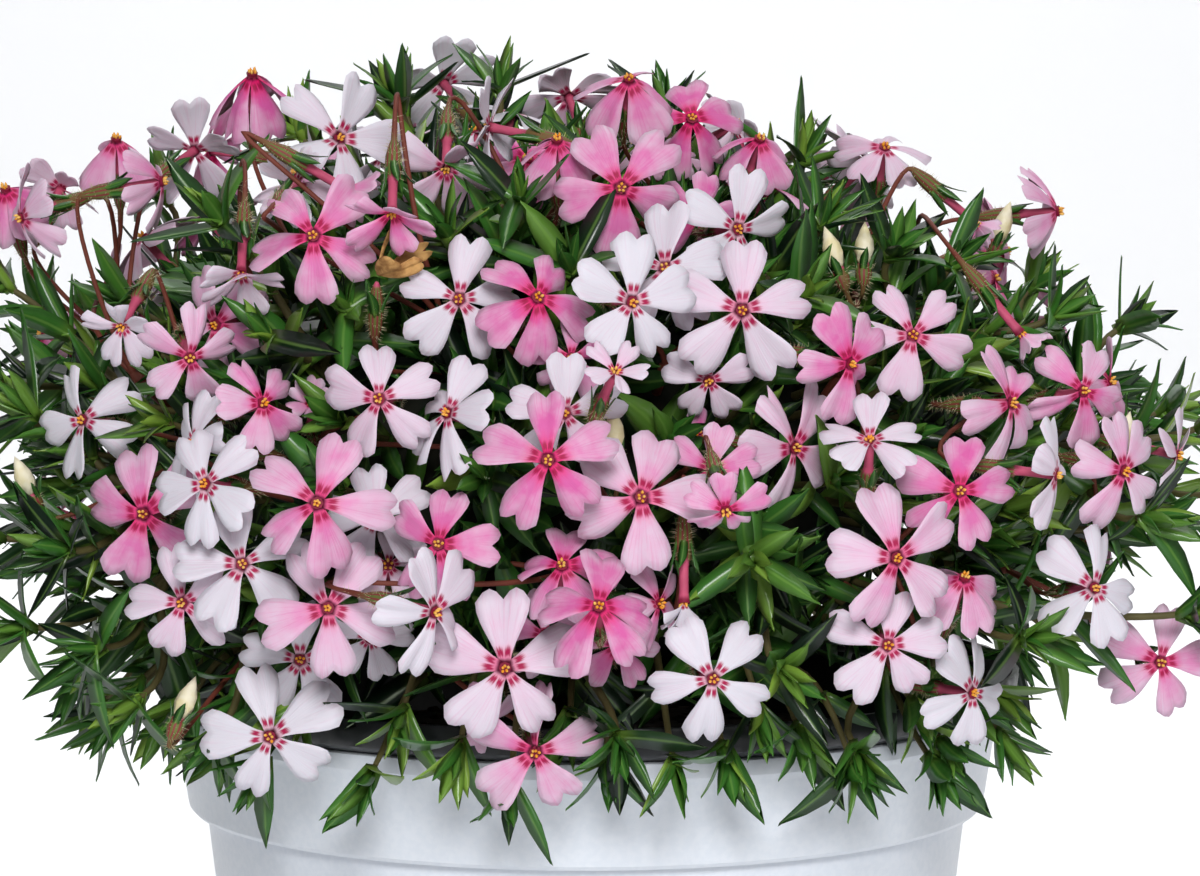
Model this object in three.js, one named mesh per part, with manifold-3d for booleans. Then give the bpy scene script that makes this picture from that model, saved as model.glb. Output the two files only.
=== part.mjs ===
import * as THREE from "three";
import { mergeVertices } from "three/addons/utils/BufferGeometryUtils.js";
import Module from "manifold-3d";

const wasm = await Module();
wasm.setup();

// White pot: millimetres, underside at z = 0.
const potHeight = 158;
const rimRadius = 83;
const lipDepth = 3.3;
const collarDepth = 21.2;
const collarFootRadius = 79.9;
const wallTopRadius = 76.1;
const baseRadius = 59.7;
const potWall = 2;
const potFloor = 3;
const drainHoleRadius = 4;
const drainHoleOffset = 36;
const drainHoles = 4;
const potSides = 24;

// Black grower pot that hangs in the white one by its flared rim.
const linerRimRadius = 86.7;
const linerRimHeight = 7;
const linerWall = 1.2;
const fitGap = 0.35;

// Potting mix and the crown that is rooted in it.
const mixTop = potHeight - 12;
const crownHoleRadius = 13;
const crownHoleDepth = 16;

// Mound: half-widths of the leaf surface about its centre.
const moundCentreZ = potHeight + 42;
const moundHalfWidth = 122;
const moundHalfDepth = 110;
const moundRise = 76;
const moundDrop = 47;
const moundFallToRight = 0.0035;

// Sight lines: flowers are set out as they are met from a point in front.
const viewerPoint = new THREE.Vector3(2.8, -1000, 306.7);
const viewerTilt = THREE.MathUtils.degToRad(5.5);
const sightReach = 1005.6;

// Flower parts.
const throatRadius = 1.35;
const throatDepth = 1.5;
const tubeLength = 10;
const calyxRadius = 1.7;
const calyxLength = 6.5;
const petalThickness = 1.1;
const sliverWidth = 0.04;
const stalkRadius = 0.75;
const stemRadius = 1.0;

// Leaves.
const leafLength = 18;
const leafWidth = 3.6;
const leafThickness = 1.1;
const nodesPerShoot = 2;
const needleLength = 9;
const hangLevel = 16;
const tuftLength = 20;

// Clearance map.
const cell = 1;
const mapLow = new THREE.Vector3(-160, -150, 90);
const mapSize = [320, 300, 230];

function seeded(seed) {
  let state = seed >>> 0;
  return () => {
    state = (state + 0x6d2b79f5) >>> 0;
    let t = Math.imul(state ^ (state >>> 15), 1 | state);
    t = (t + Math.imul(t ^ (t >>> 7), 61 | t)) ^ t;
    return ((t ^ (t >>> 14)) >>> 0) / 4294967296;
  };
}

function toSolid(geometry) {
  const bare = new THREE.BufferGeometry();
  bare.setAttribute("position", geometry.getAttribute("position").clone());
  if (geometry.index) {
    bare.setIndex(geometry.index.clone());
  }
  const merged = mergeVertices(bare, 1e-4);
  return new wasm.Manifold(new wasm.Mesh({
    numProp: 3,
    vertProperties: new Float32Array(merged.getAttribute("position").array),
    triVerts: new Uint32Array(merged.index.array),
  }));
}

function toGeometry(solid) {
  const mesh = solid.getMesh();
  const geometry = new THREE.BufferGeometry();
  geometry.setAttribute("position", new THREE.BufferAttribute(new Float32Array(mesh.vertProperties), 3));
  geometry.setIndex(new THREE.BufferAttribute(new Uint32Array(mesh.triVerts), 1));
  geometry.computeVertexNormals();
  return geometry;
}

function join(solids) {
  return solids.reduce((whole, solid) => whole.add(solid));
}

function lathe(profile, sides) {
  const points = profile.map(([r, z]) => new THREE.Vector2(r, z));
  const geometry = new THREE.LatheGeometry(points, sides);
  geometry.rotateX(Math.PI / 2);
  return geometry;
}

// Point samples over a geometry's surface, close enough together to fill the map's cells.
function samplesOf(geometry) {
  const flat = geometry.index ? geometry.toNonIndexed() : geometry;
  const position = flat.getAttribute("position");
  const corner = [new THREE.Vector3(), new THREE.Vector3(), new THREE.Vector3()];
  const samples = [];
  for (let i = 0; i < position.count; i += 3) {
    corner.forEach((point, k) => point.fromBufferAttribute(position, i + k));
    const longest = Math.max(
      corner[0].distanceTo(corner[1]),
      corner[1].distanceTo(corner[2]),
      corner[2].distanceTo(corner[0]),
    );
    const steps = Math.max(1, Math.ceil(longest / 0.7));
    for (let a = 0; a <= steps; a += 1) {
      for (let b = 0; b <= steps - a; b += 1) {
        const point = new THREE.Vector3();
        point.addScaledVector(corner[0], a / steps);
        point.addScaledVector(corner[1], b / steps);
        point.addScaledVector(corner[2], 1 - (a + b) / steps);
        samples.push(point);
      }
    }
  }
  return samples;
}

const owners = new Int16Array(mapSize[0] * mapSize[1] * mapSize[2]);

function cellOf(point) {
  return [
    Math.floor((point.x - mapLow.x) / cell),
    Math.floor((point.y - mapLow.y) / cell),
    Math.floor((point.z - mapLow.z) / cell),
  ];
}

function inMap([i, j, k]) {
  return i > 0 && j > 0 && k > 0 && i < mapSize[0] - 1 && j < mapSize[1] - 1 && k < mapSize[2] - 1;
}

function claim(samples, owner) {
  for (const point of samples) {
    const at = cellOf(point);
    if (inMap(at)) {
      owners[(at[0] * mapSize[1] + at[1]) * mapSize[2] + at[2]] = owner;
    }
  }
}

// Counts the samples that lie next to another owner's cells.
function crowding(samples, owner, ignored) {
  let blocked = 0;
  for (const point of samples) {
    const [i, j, k] = cellOf(point);
    if (!inMap([i, j, k])) {
      continue;
    }
    let hit = false;
    for (let a = i - 1; a <= i + 1; a += 1) {
      for (let b = j - 1; b <= j + 1; b += 1) {
        for (let c = k - 1; c <= k + 1; c += 1) {
          const there = owners[(a * mapSize[1] + b) * mapSize[2] + c];
          if (there !== 0 && there !== owner && there !== ignored) {
            hit = true;
          }
        }
      }
    }
    if (hit) {
      blocked += 1;
    }
  }
  return blocked;
}

// 1 on the mound's leaf surface, less inside it.
function moundLevel(point, raise) {
  const side = Math.hypot(point.x / (moundHalfWidth + raise), point.y / (moundHalfDepth + raise));
  const rise = point.z - moundCentreZ;
  const fall = 1 - moundFallToRight * Math.max(0, point.x);
  const half = rise > 0 ? (moundRise + raise) * fall : moundDrop + raise;
  const power = rise > 0 ? 2.2 : 3;
  return Math.pow(side, power) + Math.pow(Math.abs(rise) / half, power);
}

const sightForward = new THREE.Vector3(0, Math.cos(viewerTilt), -Math.sin(viewerTilt));
const sightUp = new THREE.Vector3(0, Math.sin(viewerTilt), Math.cos(viewerTilt));

// Meets the mound along the sight line through a point of the upright picture plane.
function alongSight(across, up, raise) {
  const aim = viewerPoint.clone().addScaledVector(sightForward, sightReach);
  aim.x += across;
  aim.addScaledVector(sightUp, up);
  const way = aim.sub(viewerPoint).normalize();
  let best = null;
  let bestLevel = Infinity;
  for (let reach = sightReach - 150; reach < sightReach + 130; reach += 0.5) {
    const point = viewerPoint.clone().addScaledVector(way, reach);
    const level = moundLevel(point, raise);
    if (level < bestLevel) {
      bestLevel = level;
      best = point;
    }
    const skirt = point.z < potHeight + 6 && Math.hypot(point.x, point.y) < rimRadius + 9;
    if (level <= 1 || skirt) {
      best = point;
      break;
    }
  }
  return { point: best, way };
}

function facingOf(yaw, pitch) {
  const turn = THREE.MathUtils.degToRad(yaw);
  const lift = THREE.MathUtils.degToRad(pitch);
  return new THREE.Vector3(
    Math.sin(turn) * Math.cos(lift),
    -Math.cos(turn) * Math.cos(lift),
    Math.sin(lift),
  );
}

// Faces that narrow a ring of five corners to a ring of three.
function bridge(five, three) {
  const match = [0, 0, 1, 1, 2];
  const faces = [];
  for (let i = 0; i < 5; i += 1) {
    const next = (i + 1) % 5;
    faces.push([five[next], five[i], three[match[i]]]);
    if (match[next] !== match[i]) {
      faces.push([five[next], three[match[i]], three[match[next]]]);
    }
  }
  return faces;
}

// Corolla, tube and calyx down to the calyx's widest ring; the eye is the origin and +Z looks out.
function bloomShell(size, sweep, random) {
  const reach = size / 2;
  const points = [new THREE.Vector3(0, 0, -0.8)];
  const faces = [];
  const add = (x, y, z) => points.push(new THREE.Vector3(x, y, z)) - 1;
  const ring = (count, offset, radius, z) => Array.from({ length: count }, (_, i) => {
    const angle = ((i - offset) * 2 * Math.PI) / count;
    return add(radius * Math.cos(angle), radius * Math.sin(angle), z);
  });
  const petals = Array.from({ length: 5 }, (_, i) => ({
    angle: (i * 2 * Math.PI) / 5 + (random() - 0.5) * 0.2,
    drop: THREE.MathUtils.degToRad(sweep + (random() - 0.5) * 16),
    length: reach * (0.95 + random() * 0.1),
    tilt: (random() - 0.5) * 0.3,
  }));
  const steepest = Math.max(0, ...petals.map((petal) => petal.drop));
  const base = ring(5, 0.5, throatRadius, -throatDepth - throatRadius * Math.tan(steepest));
  petals.forEach(({ angle, drop, length, tilt }, i) => {
    const width = length * 0.46 * Math.min(1, 1.1 * Math.cos(drop));
    const out = new THREE.Vector3(
      Math.cos(angle) * Math.cos(drop),
      Math.sin(angle) * Math.cos(drop),
      -Math.sin(drop),
    );
    const across = new THREE.Vector3(-Math.sin(angle), Math.cos(angle), tilt);
    across.normalize();
    const under = new THREE.Vector3().crossVectors(across, out);
    const place = (along, aside, below) => {
      const point = out.clone().multiplyScalar(length * along);
      point.addScaledVector(across, width * aside);
      point.addScaledVector(under, below);
      return add(point.x, point.y, point.z);
    };
    const right = place(0.93, -1, 0);
    const notch = place(0.86, 0, 0);
    const left = place(0.93, 1, 0);
    const belly = place(0.58, 0, petalThickness);
    const from = base[i];
    const to = base[(i + 1) % 5];
    const rim = [from, right, notch, left, to];
    for (let k = 0; k < 4; k += 1) {
      faces.push([0, rim[k], rim[k + 1]]);
      faces.push([belly, rim[k + 1], rim[k]]);
    }
    faces.push([belly, from, to]);
  });
  const calyx = ring(3, 0, calyxRadius, -tubeLength);
  faces.push(...bridge(base, calyx));
  return { points, faces, calyx, root: new THREE.Vector3(0, 0, -tubeLength - calyxLength) };
}

// Bud or empty calyx, open at its widest ring in the same way.
function budShell(length, width) {
  const points = [new THREE.Vector3(0, 0, 0)];
  const faces = [];
  const calyx = [1, 2, 3];
  for (let i = 0; i < 3; i += 1) {
    const angle = (i * 2 * Math.PI) / 3;
    const corner = new THREE.Vector3(Math.cos(angle), Math.sin(angle), 0).multiplyScalar(width / 2);
    points.push(corner.setZ(-length * 0.6));
    faces.push([0, calyx[i], calyx[(i + 1) % 3]]);
  }
  return { points, faces, calyx, root: new THREE.Vector3(0, 0, -length) };
}

function poseShell(shell, scale, point, facing, roll) {
  const turn = new THREE.Quaternion().setFromUnitVectors(new THREE.Vector3(0, 0, 1), facing);
  const spin = new THREE.Quaternion().setFromAxisAngle(facing, THREE.MathUtils.degToRad(roll));
  spin.multiply(turn);
  const move = (p) => new THREE.Vector3(p.x * scale, p.y * scale, p.z).applyQuaternion(spin).add(point);
  return { points: shell.points.map(move), faces: shell.faces, calyx: shell.calyx, root: move(shell.root) };
}

function geometryFrom(points, faces) {
  const geometry = new THREE.BufferGeometry();
  geometry.setAttribute("position", new THREE.Float32BufferAttribute(points.flatMap((p) => p.toArray()), 3));
  geometry.setIndex(faces.flat());
  return geometry;
}

// Whether an edge of the fresh faces passes through one of the faces, or the other way about.
function tangled(points, faces, fresh) {
  const ray = new THREE.Ray();
  const hit = new THREE.Vector3();
  const pierces = (edged, walls) => edged.some((face) => face.some((from, i) => {
    const to = face[(i + 1) % 3];
    const length = points[from].distanceTo(points[to]);
    ray.origin.copy(points[from]);
    ray.direction.subVectors(points[to], points[from]).divideScalar(length);
    return walls.some((wall) => {
      if (wall.includes(from) || wall.includes(to)) {
        return false;
      }
      const [a, b, c] = wall.map((corner) => points[corner]);
      return ray.intersectTriangle(a, b, c, false, hit) !== null && hit.distanceTo(ray.origin) < length;
    });
  }));
  return pierces(fresh, faces) || pierces(faces, fresh);
}

// Closes a shell with a three-sided stalk that runs from its root along a path.
function withStalk(shell, path, facing, steps) {
  const points = [...shell.points];
  const faces = [...shell.faces];
  const u = points[shell.calyx[0]].clone().sub(shell.root);
  let above = shell.calyx;
  for (let step = 0; step < steps; step += 1) {
    const t = step / steps;
    const at = path.getPointAt(t);
    const away = step === 0 ? facing.clone() : path.getTangentAt(t).negate();
    u.addScaledVector(away, -u.dot(away)).normalize();
    const v = new THREE.Vector3().crossVectors(away, u);
    const ring = [0, 1, 2].map((k) => {
      const angle = (k * 2 * Math.PI) / 3;
      const point = at.clone().addScaledVector(u, stalkRadius * Math.cos(angle));
      return points.push(point.addScaledVector(v, stalkRadius * Math.sin(angle))) - 1;
    });
    for (let k = 0; k < 3; k += 1) {
      const next = (k + 1) % 3;
      faces.push([above[next], above[k], ring[k]]);
      faces.push([above[next], ring[k], ring[next]]);
    }
    above = ring;
  }
  const end = points.push(path.getPointAt(1)) - 1;
  for (let k = 0; k < 3; k += 1) {
    faces.push([above[(k + 1) % 3], above[k], end]);
  }
  return { points, faces };
}

// The shell alone, closed at its root, for finding room.
function closedShell(shell) {
  const points = [...shell.points, shell.root];
  const faces = [...shell.faces];
  const end = points.length - 1;
  shell.calyx.forEach((from, i) => faces.push([shell.calyx[(i + 1) % 3], from, end]));
  return geometryFrom(points, faces);
}

function rod(path, radius, steps) {
  const section = new THREE.Shape();
  for (let i = 0; i < 3; i += 1) {
    const angle = (i * 2 * Math.PI) / 3;
    const x = radius * Math.cos(angle);
    const y = radius * Math.sin(angle);
    if (i === 0) {
      section.moveTo(x, y);
    } else {
      section.lineTo(x, y);
    }
  }
  section.closePath();
  return new THREE.ExtrudeGeometry(section, { steps, bevelEnabled: false, extrudePath: path });
}

// Corners of a slim keeled leaf: base, left, right, keel and tip, flat side towards `upper`.
function leafCorners(base, way, upper, length, droop) {
  const x = upper.clone().addScaledVector(way, -upper.dot(way)).normalize();
  const y = new THREE.Vector3().crossVectors(way, x);
  const place = (a, b, c) => base.clone().addScaledVector(x, a).addScaledVector(y, b).addScaledVector(way, c);
  return [
    base.clone(),
    place(0, leafWidth / 2, length * 0.45),
    place(0, -leafWidth / 2, length * 0.45),
    place(-leafThickness, 0, length * 0.42),
    place(-droop * length, 0, length),
  ];
}

function leafGeometry(corners) {
  return geometryFrom(corners, [[0, 1, 2], [1, 4, 2], [0, 3, 1], [3, 4, 1], [0, 2, 3], [2, 4, 3]]);
}

// Three-sided shoot along a path, with a leaf grown out of each side at its nodes where
// `leafOn` gives one, and a needle at its end.
function shootGeometry(path, turn, nodes, leafOn) {
  const length = path.getLength();
  const points = [path.getPointAt(0)];
  const faces = [];
  const u = new THREE.Vector3(0.3, 0.5, 1).normalize();
  const ringAt = (t, angle) => {
    const along = path.getTangentAt(t);
    u.addScaledVector(along, -u.dot(along)).normalize();
    const v = new THREE.Vector3().crossVectors(along, u);
    return [0, 1, 2].map((k) => {
      const theta = angle + (k * 2 * Math.PI) / 3;
      const point = path.getPointAt(t).addScaledVector(u, stemRadius * Math.cos(theta));
      return points.push(point.addScaledVector(v, stemRadius * Math.sin(theta))) - 1;
    });
  };
  const side = (low, high, k) => {
    const next = (k + 1) % 3;
    return [[low[k], low[next], high[next]], [low[k], high[next], high[k]]];
  };
  const sites = [];
  let low = null;
  for (let node = 0; node < nodes; node += 1) {
    const t = 0.5 + (0.46 * node) / Math.max(1, nodes - 1);
    const angle = turn - (node * Math.PI) / 3;
    const foot = ringAt(t, angle);
    for (let k = 0; k < 3; k += 1) {
      faces.push(...(low ? side(low, foot, k) : [[0, foot[(k + 1) % 3], foot[k]]]));
    }
    const head = ringAt(Math.min(0.995, t + 1.5 / length), angle);
    for (let k = 0; k < 3; k += 1) {
      const corners = [foot[k], foot[(k + 1) % 3], head[(k + 1) % 3], head[k]];
      const skin = side(foot, head, k);
      sites.push({ corners, skin, centre: path.getPointAt(t), along: path.getTangentAt(t) });
    }
    low = head;
  }
  const end = points.push(path.getPointAt(1).addScaledVector(path.getTangentAt(1), needleLength)) - 1;
  for (let k = 0; k < 3; k += 1) {
    faces.push([low[k], low[(k + 1) % 3], end]);
  }
  sites.forEach((site) => {
    const [a0, a1, b1, b0] = site.corners;
    const middle = new THREE.Vector3();
    site.corners.forEach((corner) => middle.addScaledVector(points[corner], 0.25));
    const out = middle.clone().sub(site.centre).addScaledVector(site.along, -0.7).normalize();
    const others = [...faces, ...sites.filter((each) => each !== site).flatMap((each) => each.skin)];
    const [left, right, keel, tip] = [0, 1, 2, 3].map((k) => points.length + k);
    const skin = [
      [a0, a1, keel], [a1, b1, right], [a1, right, keel],
      [b1, b0, left], [b1, left, right],
      [b0, a0, keel], [b0, keel, left],
      [right, left, tip], [keel, right, tip], [left, keel, tip],
    ];
    const fits = (leaf) => !tangled([...points, ...leaf.slice(1)], [...others, ...skin], skin);
    const leaf = leafOn(middle, out, site.along, fits);
    if (leaf) {
      points.push(...leaf.slice(1));
      site.skin = skin;
    }
  });
  return { points, faces: [...faces, ...sites.flatMap((site) => site.skin)] };
}

const coreProfile = [
  [0, mixTop - crownHoleDepth + 2],
  [crownHoleRadius - 1, mixTop - crownHoleDepth + 2],
  [crownHoleRadius - 1, mixTop + 0.5],
  [58, mixTop + 0.5],
  [66, potHeight + 2],
  [76, potHeight + linerRimHeight + 3],
  [86, potHeight + 20],
  [92, potHeight + 38],
  [87, potHeight + 58],
  [70, potHeight + 76],
  [42, potHeight + 88],
  [0, potHeight + 92],
];

function coreGeometry() {
  const geometry = lathe(coreProfile, 20);
  const position = geometry.getAttribute("position");
  for (let i = 0; i < position.count; i += 1) {
    const x = position.getX(i);
    const y = position.getY(i);
    const z = position.getZ(i);
    const above = Math.max(0, z - moundCentreZ);
    const fall = 1 - moundFallToRight * Math.max(0, x);
    const deep = z > potHeight ? moundHalfDepth / moundHalfWidth : 1;
    position.setXYZ(i, x, y * deep, z - above * (1 - fall));
  }
  return geometry;
}

const part = new THREE.Group();
part.name = "phlox_in_pot";

// Adds a solid to the part, without the slivers that a join leaves where pieces meet.
function addNode(name, solid, material) {
  const mesh = new THREE.Mesh(toGeometry(solid.simplify(sliverWidth)), material);
  mesh.name = name;
  part.add(mesh);
  return mesh;
}

function paint(color, roughness) {
  return new THREE.MeshStandardMaterial({ color, roughness, metalness: 0 });
}

const wallLean = (wallTopRadius - baseRadius) / (potHeight - collarDepth);
const collarFootZ = potHeight - collarDepth;
const lipZ = potHeight - lipDepth;
const inner = (z) => baseRadius + wallLean * z - potWall;

const potProfile = [
  [0, 0],
  [baseRadius - 1.5, 0],
  [baseRadius, 1.5],
  [wallTopRadius, collarFootZ],
  [collarFootRadius - 0.8, collarFootZ + 0.6],
  [collarFootRadius, collarFootZ + 2.6],
  [rimRadius - 0.6, lipZ - 0.4],
  [rimRadius, lipZ],
  [rimRadius, potHeight - 0.8],
  [rimRadius - 0.8, potHeight],
  [rimRadius - 2.6, potHeight],
  [rimRadius - 3, lipZ - 0.4],
  [inner(collarFootZ), collarFootZ - 2],
  [inner(potFloor), potFloor],
  [0, potFloor],
];
const linerOuter = (z) => inner(z) - fitGap;
const linerProfile = [
  [0, potFloor + fitGap],
  [linerOuter(potFloor) - 0.3, potFloor + fitGap],
  [linerOuter(collarFootZ - 2) - 0.1, collarFootZ - 2],
  [rimRadius - 3.5, lipZ - 0.4],
  [rimRadius - 3.3, potHeight + fitGap],
  [rimRadius, potHeight + fitGap + 0.1],
  [linerRimRadius - 0.6, potHeight + 2.4],
  [linerRimRadius, potHeight + linerRimHeight],
  [linerRimRadius - 1.6, potHeight + linerRimHeight],
  [linerRimRadius - 2.2, potHeight + 3],
  [rimRadius - 0.6, potHeight + 1.6],
  [rimRadius - 4.7, potHeight + 1.4],
  [rimRadius - 4.9, lipZ - 0.4],
  [linerOuter(collarFootZ - 2) - 0.1 - linerWall, collarFootZ - 2],
  [linerOuter(potFloor) - 0.3 - linerWall, potFloor + fitGap + linerWall],
  [0, potFloor + fitGap + linerWall],
];
const mixOuter = (z) => linerOuter(z) - linerWall - 0.5;
const mixFoot = potFloor + fitGap + linerWall + 0.4;
const mixProfile = [
  [0, mixFoot],
  [mixOuter(potFloor) - 0.3, mixFoot],
  [mixOuter(collarFootZ - 2) - 0.2, collarFootZ - 2],
  [mixOuter(collarFootZ - 2), mixTop],
  [crownHoleRadius, mixTop],
  [crownHoleRadius, mixTop - crownHoleDepth],
  [0, mixTop - crownHoleDepth],
];

let potSolid = toSolid(lathe(potProfile, potSides));
for (let i = 0; i < drainHoles; i += 1) {
  const angle = (i * 2 * Math.PI) / drainHoles;
  const drill = new THREE.CylinderGeometry(drainHoleRadius, drainHoleRadius, potFloor * 4, 6);
  drill.rotateX(Math.PI / 2);
  drill.translate(drainHoleOffset * Math.cos(angle), drainHoleOffset * Math.sin(angle), potFloor / 2);
  potSolid = potSolid.subtract(toSolid(drill));
}
const potMesh = addNode("pot", potSolid, paint(0xe6ebf3, 0.45));
const linerMesh = addNode("grower_pot", toSolid(lathe(linerProfile, potSides)), paint(0x16181b, 0.35));
const mixMesh = addNode("potting_mix", toSolid(lathe(mixProfile, potSides / 2)), paint(0x2b2019, 0.95));

[potMesh, linerMesh, mixMesh].forEach((mesh, i) => claim(samplesOf(mesh.geometry), i + 1));

const cushionOwner = 4;
const core = coreGeometry();
claim(samplesOf(core), cushionOwner);
const coreFaces = [];
const coreFlat = core.toNonIndexed().getAttribute("position");
for (let i = 0; i < coreFlat.count; i += 3) {
  const corners = [0, 1, 2].map((k) => new THREE.Vector3().fromBufferAttribute(coreFlat, i + k));
  coreFaces.push(new THREE.Triangle(...corners));
}

function nearestOnCore(point) {
  let best = null;
  let bestDistance = Infinity;
  for (const face of coreFaces) {
    const near = face.closestPointToPoint(point, new THREE.Vector3());
    const distance = near.distanceTo(point);
    if (distance < bestDistance) {
      bestDistance = distance;
      best = near;
    }
  }
  return best;
}

// Flowers by spray. Each bloom is [across, up, yaw, pitch, size, sweep, raise, roll]: where its eye
// is met on the picture plane in mm, where it faces in degrees (0, 0 is to the front), its width,
// how far its petals are swept back, its height over the leaf surface and its turn about its eye.
const sprays = [
  { blooms: [
    [-119, 50, -20, 60, 22, 45, 6, 18],
    [-116, 44, -60, -15, 20, 15, 4, 40],
    [-107.8, 50, 160, 20, 20, 10, 5, 0],
  ] },
  { blooms: [
    [-96.8, 60, 0, 62, 23, 45, 9, 18],
    [-87.4, 51.4, 80, 10, 19, 25, 6, 0],
    [-81, 57.6, 150, 20, 21, 5, 4, 30],
  ] },
  { blooms: [
    [-69.6, 73, 5, 62, 24, 48, 20, 18],
    [-52.2, 60, 30, 25, 24, -5, 12, 18],
    [-60.8, 50.8, 170, 10, 15, 5, 5, 0],
  ] },
  { blooms: [
    [-57.4, 40.5, 0, 15, 24, 15, 8, 54],
    [-51.2, 50, 90, -30, 14, -50, 8, 0],
    [-41.6, 45, 0, -50, 17, -30, 7, 0],
  ] },
  { blooms: [
    [-71.8, 33, 0, -50, 16, -35, 9, 0],
    [-77, 22.6, -20, 0, 20, 10, -2, 30],
    [-82, 16, 10, -15, 19, 10, -2, 18],
  ] },
  { blooms: [
    [-30.8, 54, 0, -40, 20, -20, 6, 0],
    [-22.2, 62.2, -110, 10, 21, 5, 8, 18],
    [-8.6, 59.8, 0, 55, 20, 42, 10, 18],
  ] },
  { blooms: [
    [5.8, 72, 5, 45, 24, 38, 16, 18],
    [18.4, 64, 10, 25, 23, 30, 10, 30],
    [27.2, 63, 60, 30, 17, 20, 5, 0],
    [32, 60, 20, 50, 20, 42, 12, 18],
  ] },
  { blooms: [
    [4.2, 50, 10, 10, 25, 15, 9, 60],
    [20, 44.4, 20, 10, 17, 10, 0, 18],
    [27.6, 41.8, 25, 5, 23, 5, 8, 30],
    [13, 34, 0, 15, 22, 10, 0, 18],
  ] },
  { blooms: [
    [57, 58.2, 10, 55, 19, 15, 18, 18],
    [75, 43, 100, -40, 10, -60, 12, 0],
  ], buds: [[53, 43, 8], [45, 42, 8]] },
  { blooms: [
    [91.8, 45.4, 75, 5, 20, 20, 20, 0],
    [84, 21, 80, -50, 11, -60, 9, 0],
  ], buds: [[82, 47, 20]] },
  { blooms: [
    [-95.6, 22.4, -20, -35, 15, -25, 6, 0],
    [-103.6, 3.6, -30, 10, 21, 5, -1, 18],
  ], buds: [[-117, -4, 6]] },
  { blooms: [
    [-81.4, -1, -65, 10, 19, 0, 6, 18],
    [-79, -9.2, -30, 10, 21, 5, 9, 18],
    [-67.4, 7, 40, 15, 18, 10, 7, 0],
  ] },
  { blooms: [
    [-44.2, 7.8, -10, 5, 21, 10, 8, 18],
    [-30.6, 5, -50, 20, 21, 5, 4, 30],
    [-58, 6.6, 0, 30, 11, -50, 3, 0],
  ] },
  { blooms: [
    [-28.2, 27.8, 5, 5, 22, 10, 7, 18],
    [-12.4, 28.2, 10, 20, 23, 18, 8, 0],
    [-5.8, 16, 0, 0, 15, 10, -2, 18],
  ] },
  { blooms: [
    [6.4, 27.2, 22, 0, 22, 5, 7, 30],
    [28.4, 25.6, 5, 5, 25, 10, 8, 18],
    [21.8, 11.4, 0, -15, 16, 10, 2, 18],
  ] },
  { blooms: [
    [50.2, 14.8, 50, -5, 21, 10, 8, 18],
    [62.6, 20.6, 10, 5, 21, 10, 8, 54],
    [54, -0.4, 0, 50, 18, -10, 4, 18],
  ] },
  { blooms: [
    [82.4, 7, 45, 5, 22, 10, 8, 18],
    [96.8, 9.4, 30, 10, 21, 10, 7, 18],
    [102.2, 11.4, 60, 20, 17, 10, 0, 40],
    [91.4, -7.4, 75, -5, 20, 5, 6, 18],
    [105, -6.6, 40, -5, 21, 10, 8, 0],
    [115.6, -3.4, 75, -10, 18, 5, 4, 18],
  ], buds: [[106, 5, 8]] },
  { blooms: [
    [-7, 5, 0, 10, 20, 8, 4, 18],
    [3, 13.2, 20, 40, 12, -30, 10, 0],
    [-10.4, -4.4, -5, 5, 24, 12, 10, 18],
  ], buds: [[2.5, 6, 6]] },
  { blooms: [
    [8.2, -11.8, 5, 12, 27, 12, 12, 0],
    [22.4, -6.4, 10, 0, 17, 10, -1, 18],
    [25.2, -14.6, 10, -8, 19, 10, 6, 30],
    [39, -2, 45, 0, 24, 8, 8, 18],
    [20, -0.4, 10, 5, 15, 10, -3, 40],
  ] },
  { blooms: [
    [-91.4, -15.2, -15, 5, 25, 12, 8, 18],
    [-71.6, -25.2, 0, 10, 23, 5, 7, 30],
    [-83.6, -33, -15, -8, 21, 8, 7, 18],
  ] },
  { blooms: [
    [-56.6, -13, 0, 10, 25, 12, 9, 0],
    [-44.8, -16, 0, 5, 19, 8, 0, 30],
    [-54.4, -34, 0, 5, 25, 10, 8, 54],
    [-46, -40, 10, 0, 16, 8, 0, 18],
    [-42.4, -25.4, 0, 5, 16, 8, -1, 18],
  ] },
  { blooms: [
    [-32.4, -21.2, -5, 12, 21, 14, 8, 0],
    [-33, -34.8, 50, -5, 23, 8, 8, 18],
  ] },
  { blooms: [
    [-7.6, -25.4, 0, 35, 21, 28, 8, 18],
    [-0.2, -33.6, 0, 30, 23, 24, 8, 18],
    [12, -33.2, 50, 0, 16, 10, 0, 18],
  ] },
  { blooms: [
    [16.8, -33, 0, -70, 12, -65, 6, 0],
    [22.6, -48.2, 10, 0, 23, 8, 8, 54],
  ] },
  { blooms: [
    [72, -10.6, 10, 12, 21, 12, 9, 18],
    [59.4, -24, 20, 8, 25, 10, 9, 54],
    [73, -27.8, 20, 50, 20, 42, 2, 18],
  ] },
  { blooms: [
    [57.6, -41.4, 5, 0, 21, 8, 8, 18],
    [74.6, -51, 45, 0, 21, 8, 8, 30],
  ] },
  { blooms: [
    [99, -30, 25, 10, 23, 6, 8, 18],
    [112.2, -44.8, 15, 0, 22, 10, 8, 18],
  ] },
  { blooms: [
    [-66, -59.8, -5, 0, 24, 8, 9, 30],
    [-60, -44.4, 0, 15, 22, 5, 0, 18],
  ], buds: [[-81, -48, 8]] },
  { blooms: [
    [-19, -46, 0, 0, 26, 10, 10, 18],
    [-11, -39.4, 10, 10, 16, 8, -1, 30],
    [3.4, -41.4, 5, -15, 21, 12, 7, 18],
  ] },
  { blooms: [
    [-13, -62.8, 5, -5, 24, 10, 10, 18],
    [-22.6, -56.8, -10, 0, 15, 8, 0, 18],
  ] },
];

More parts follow.
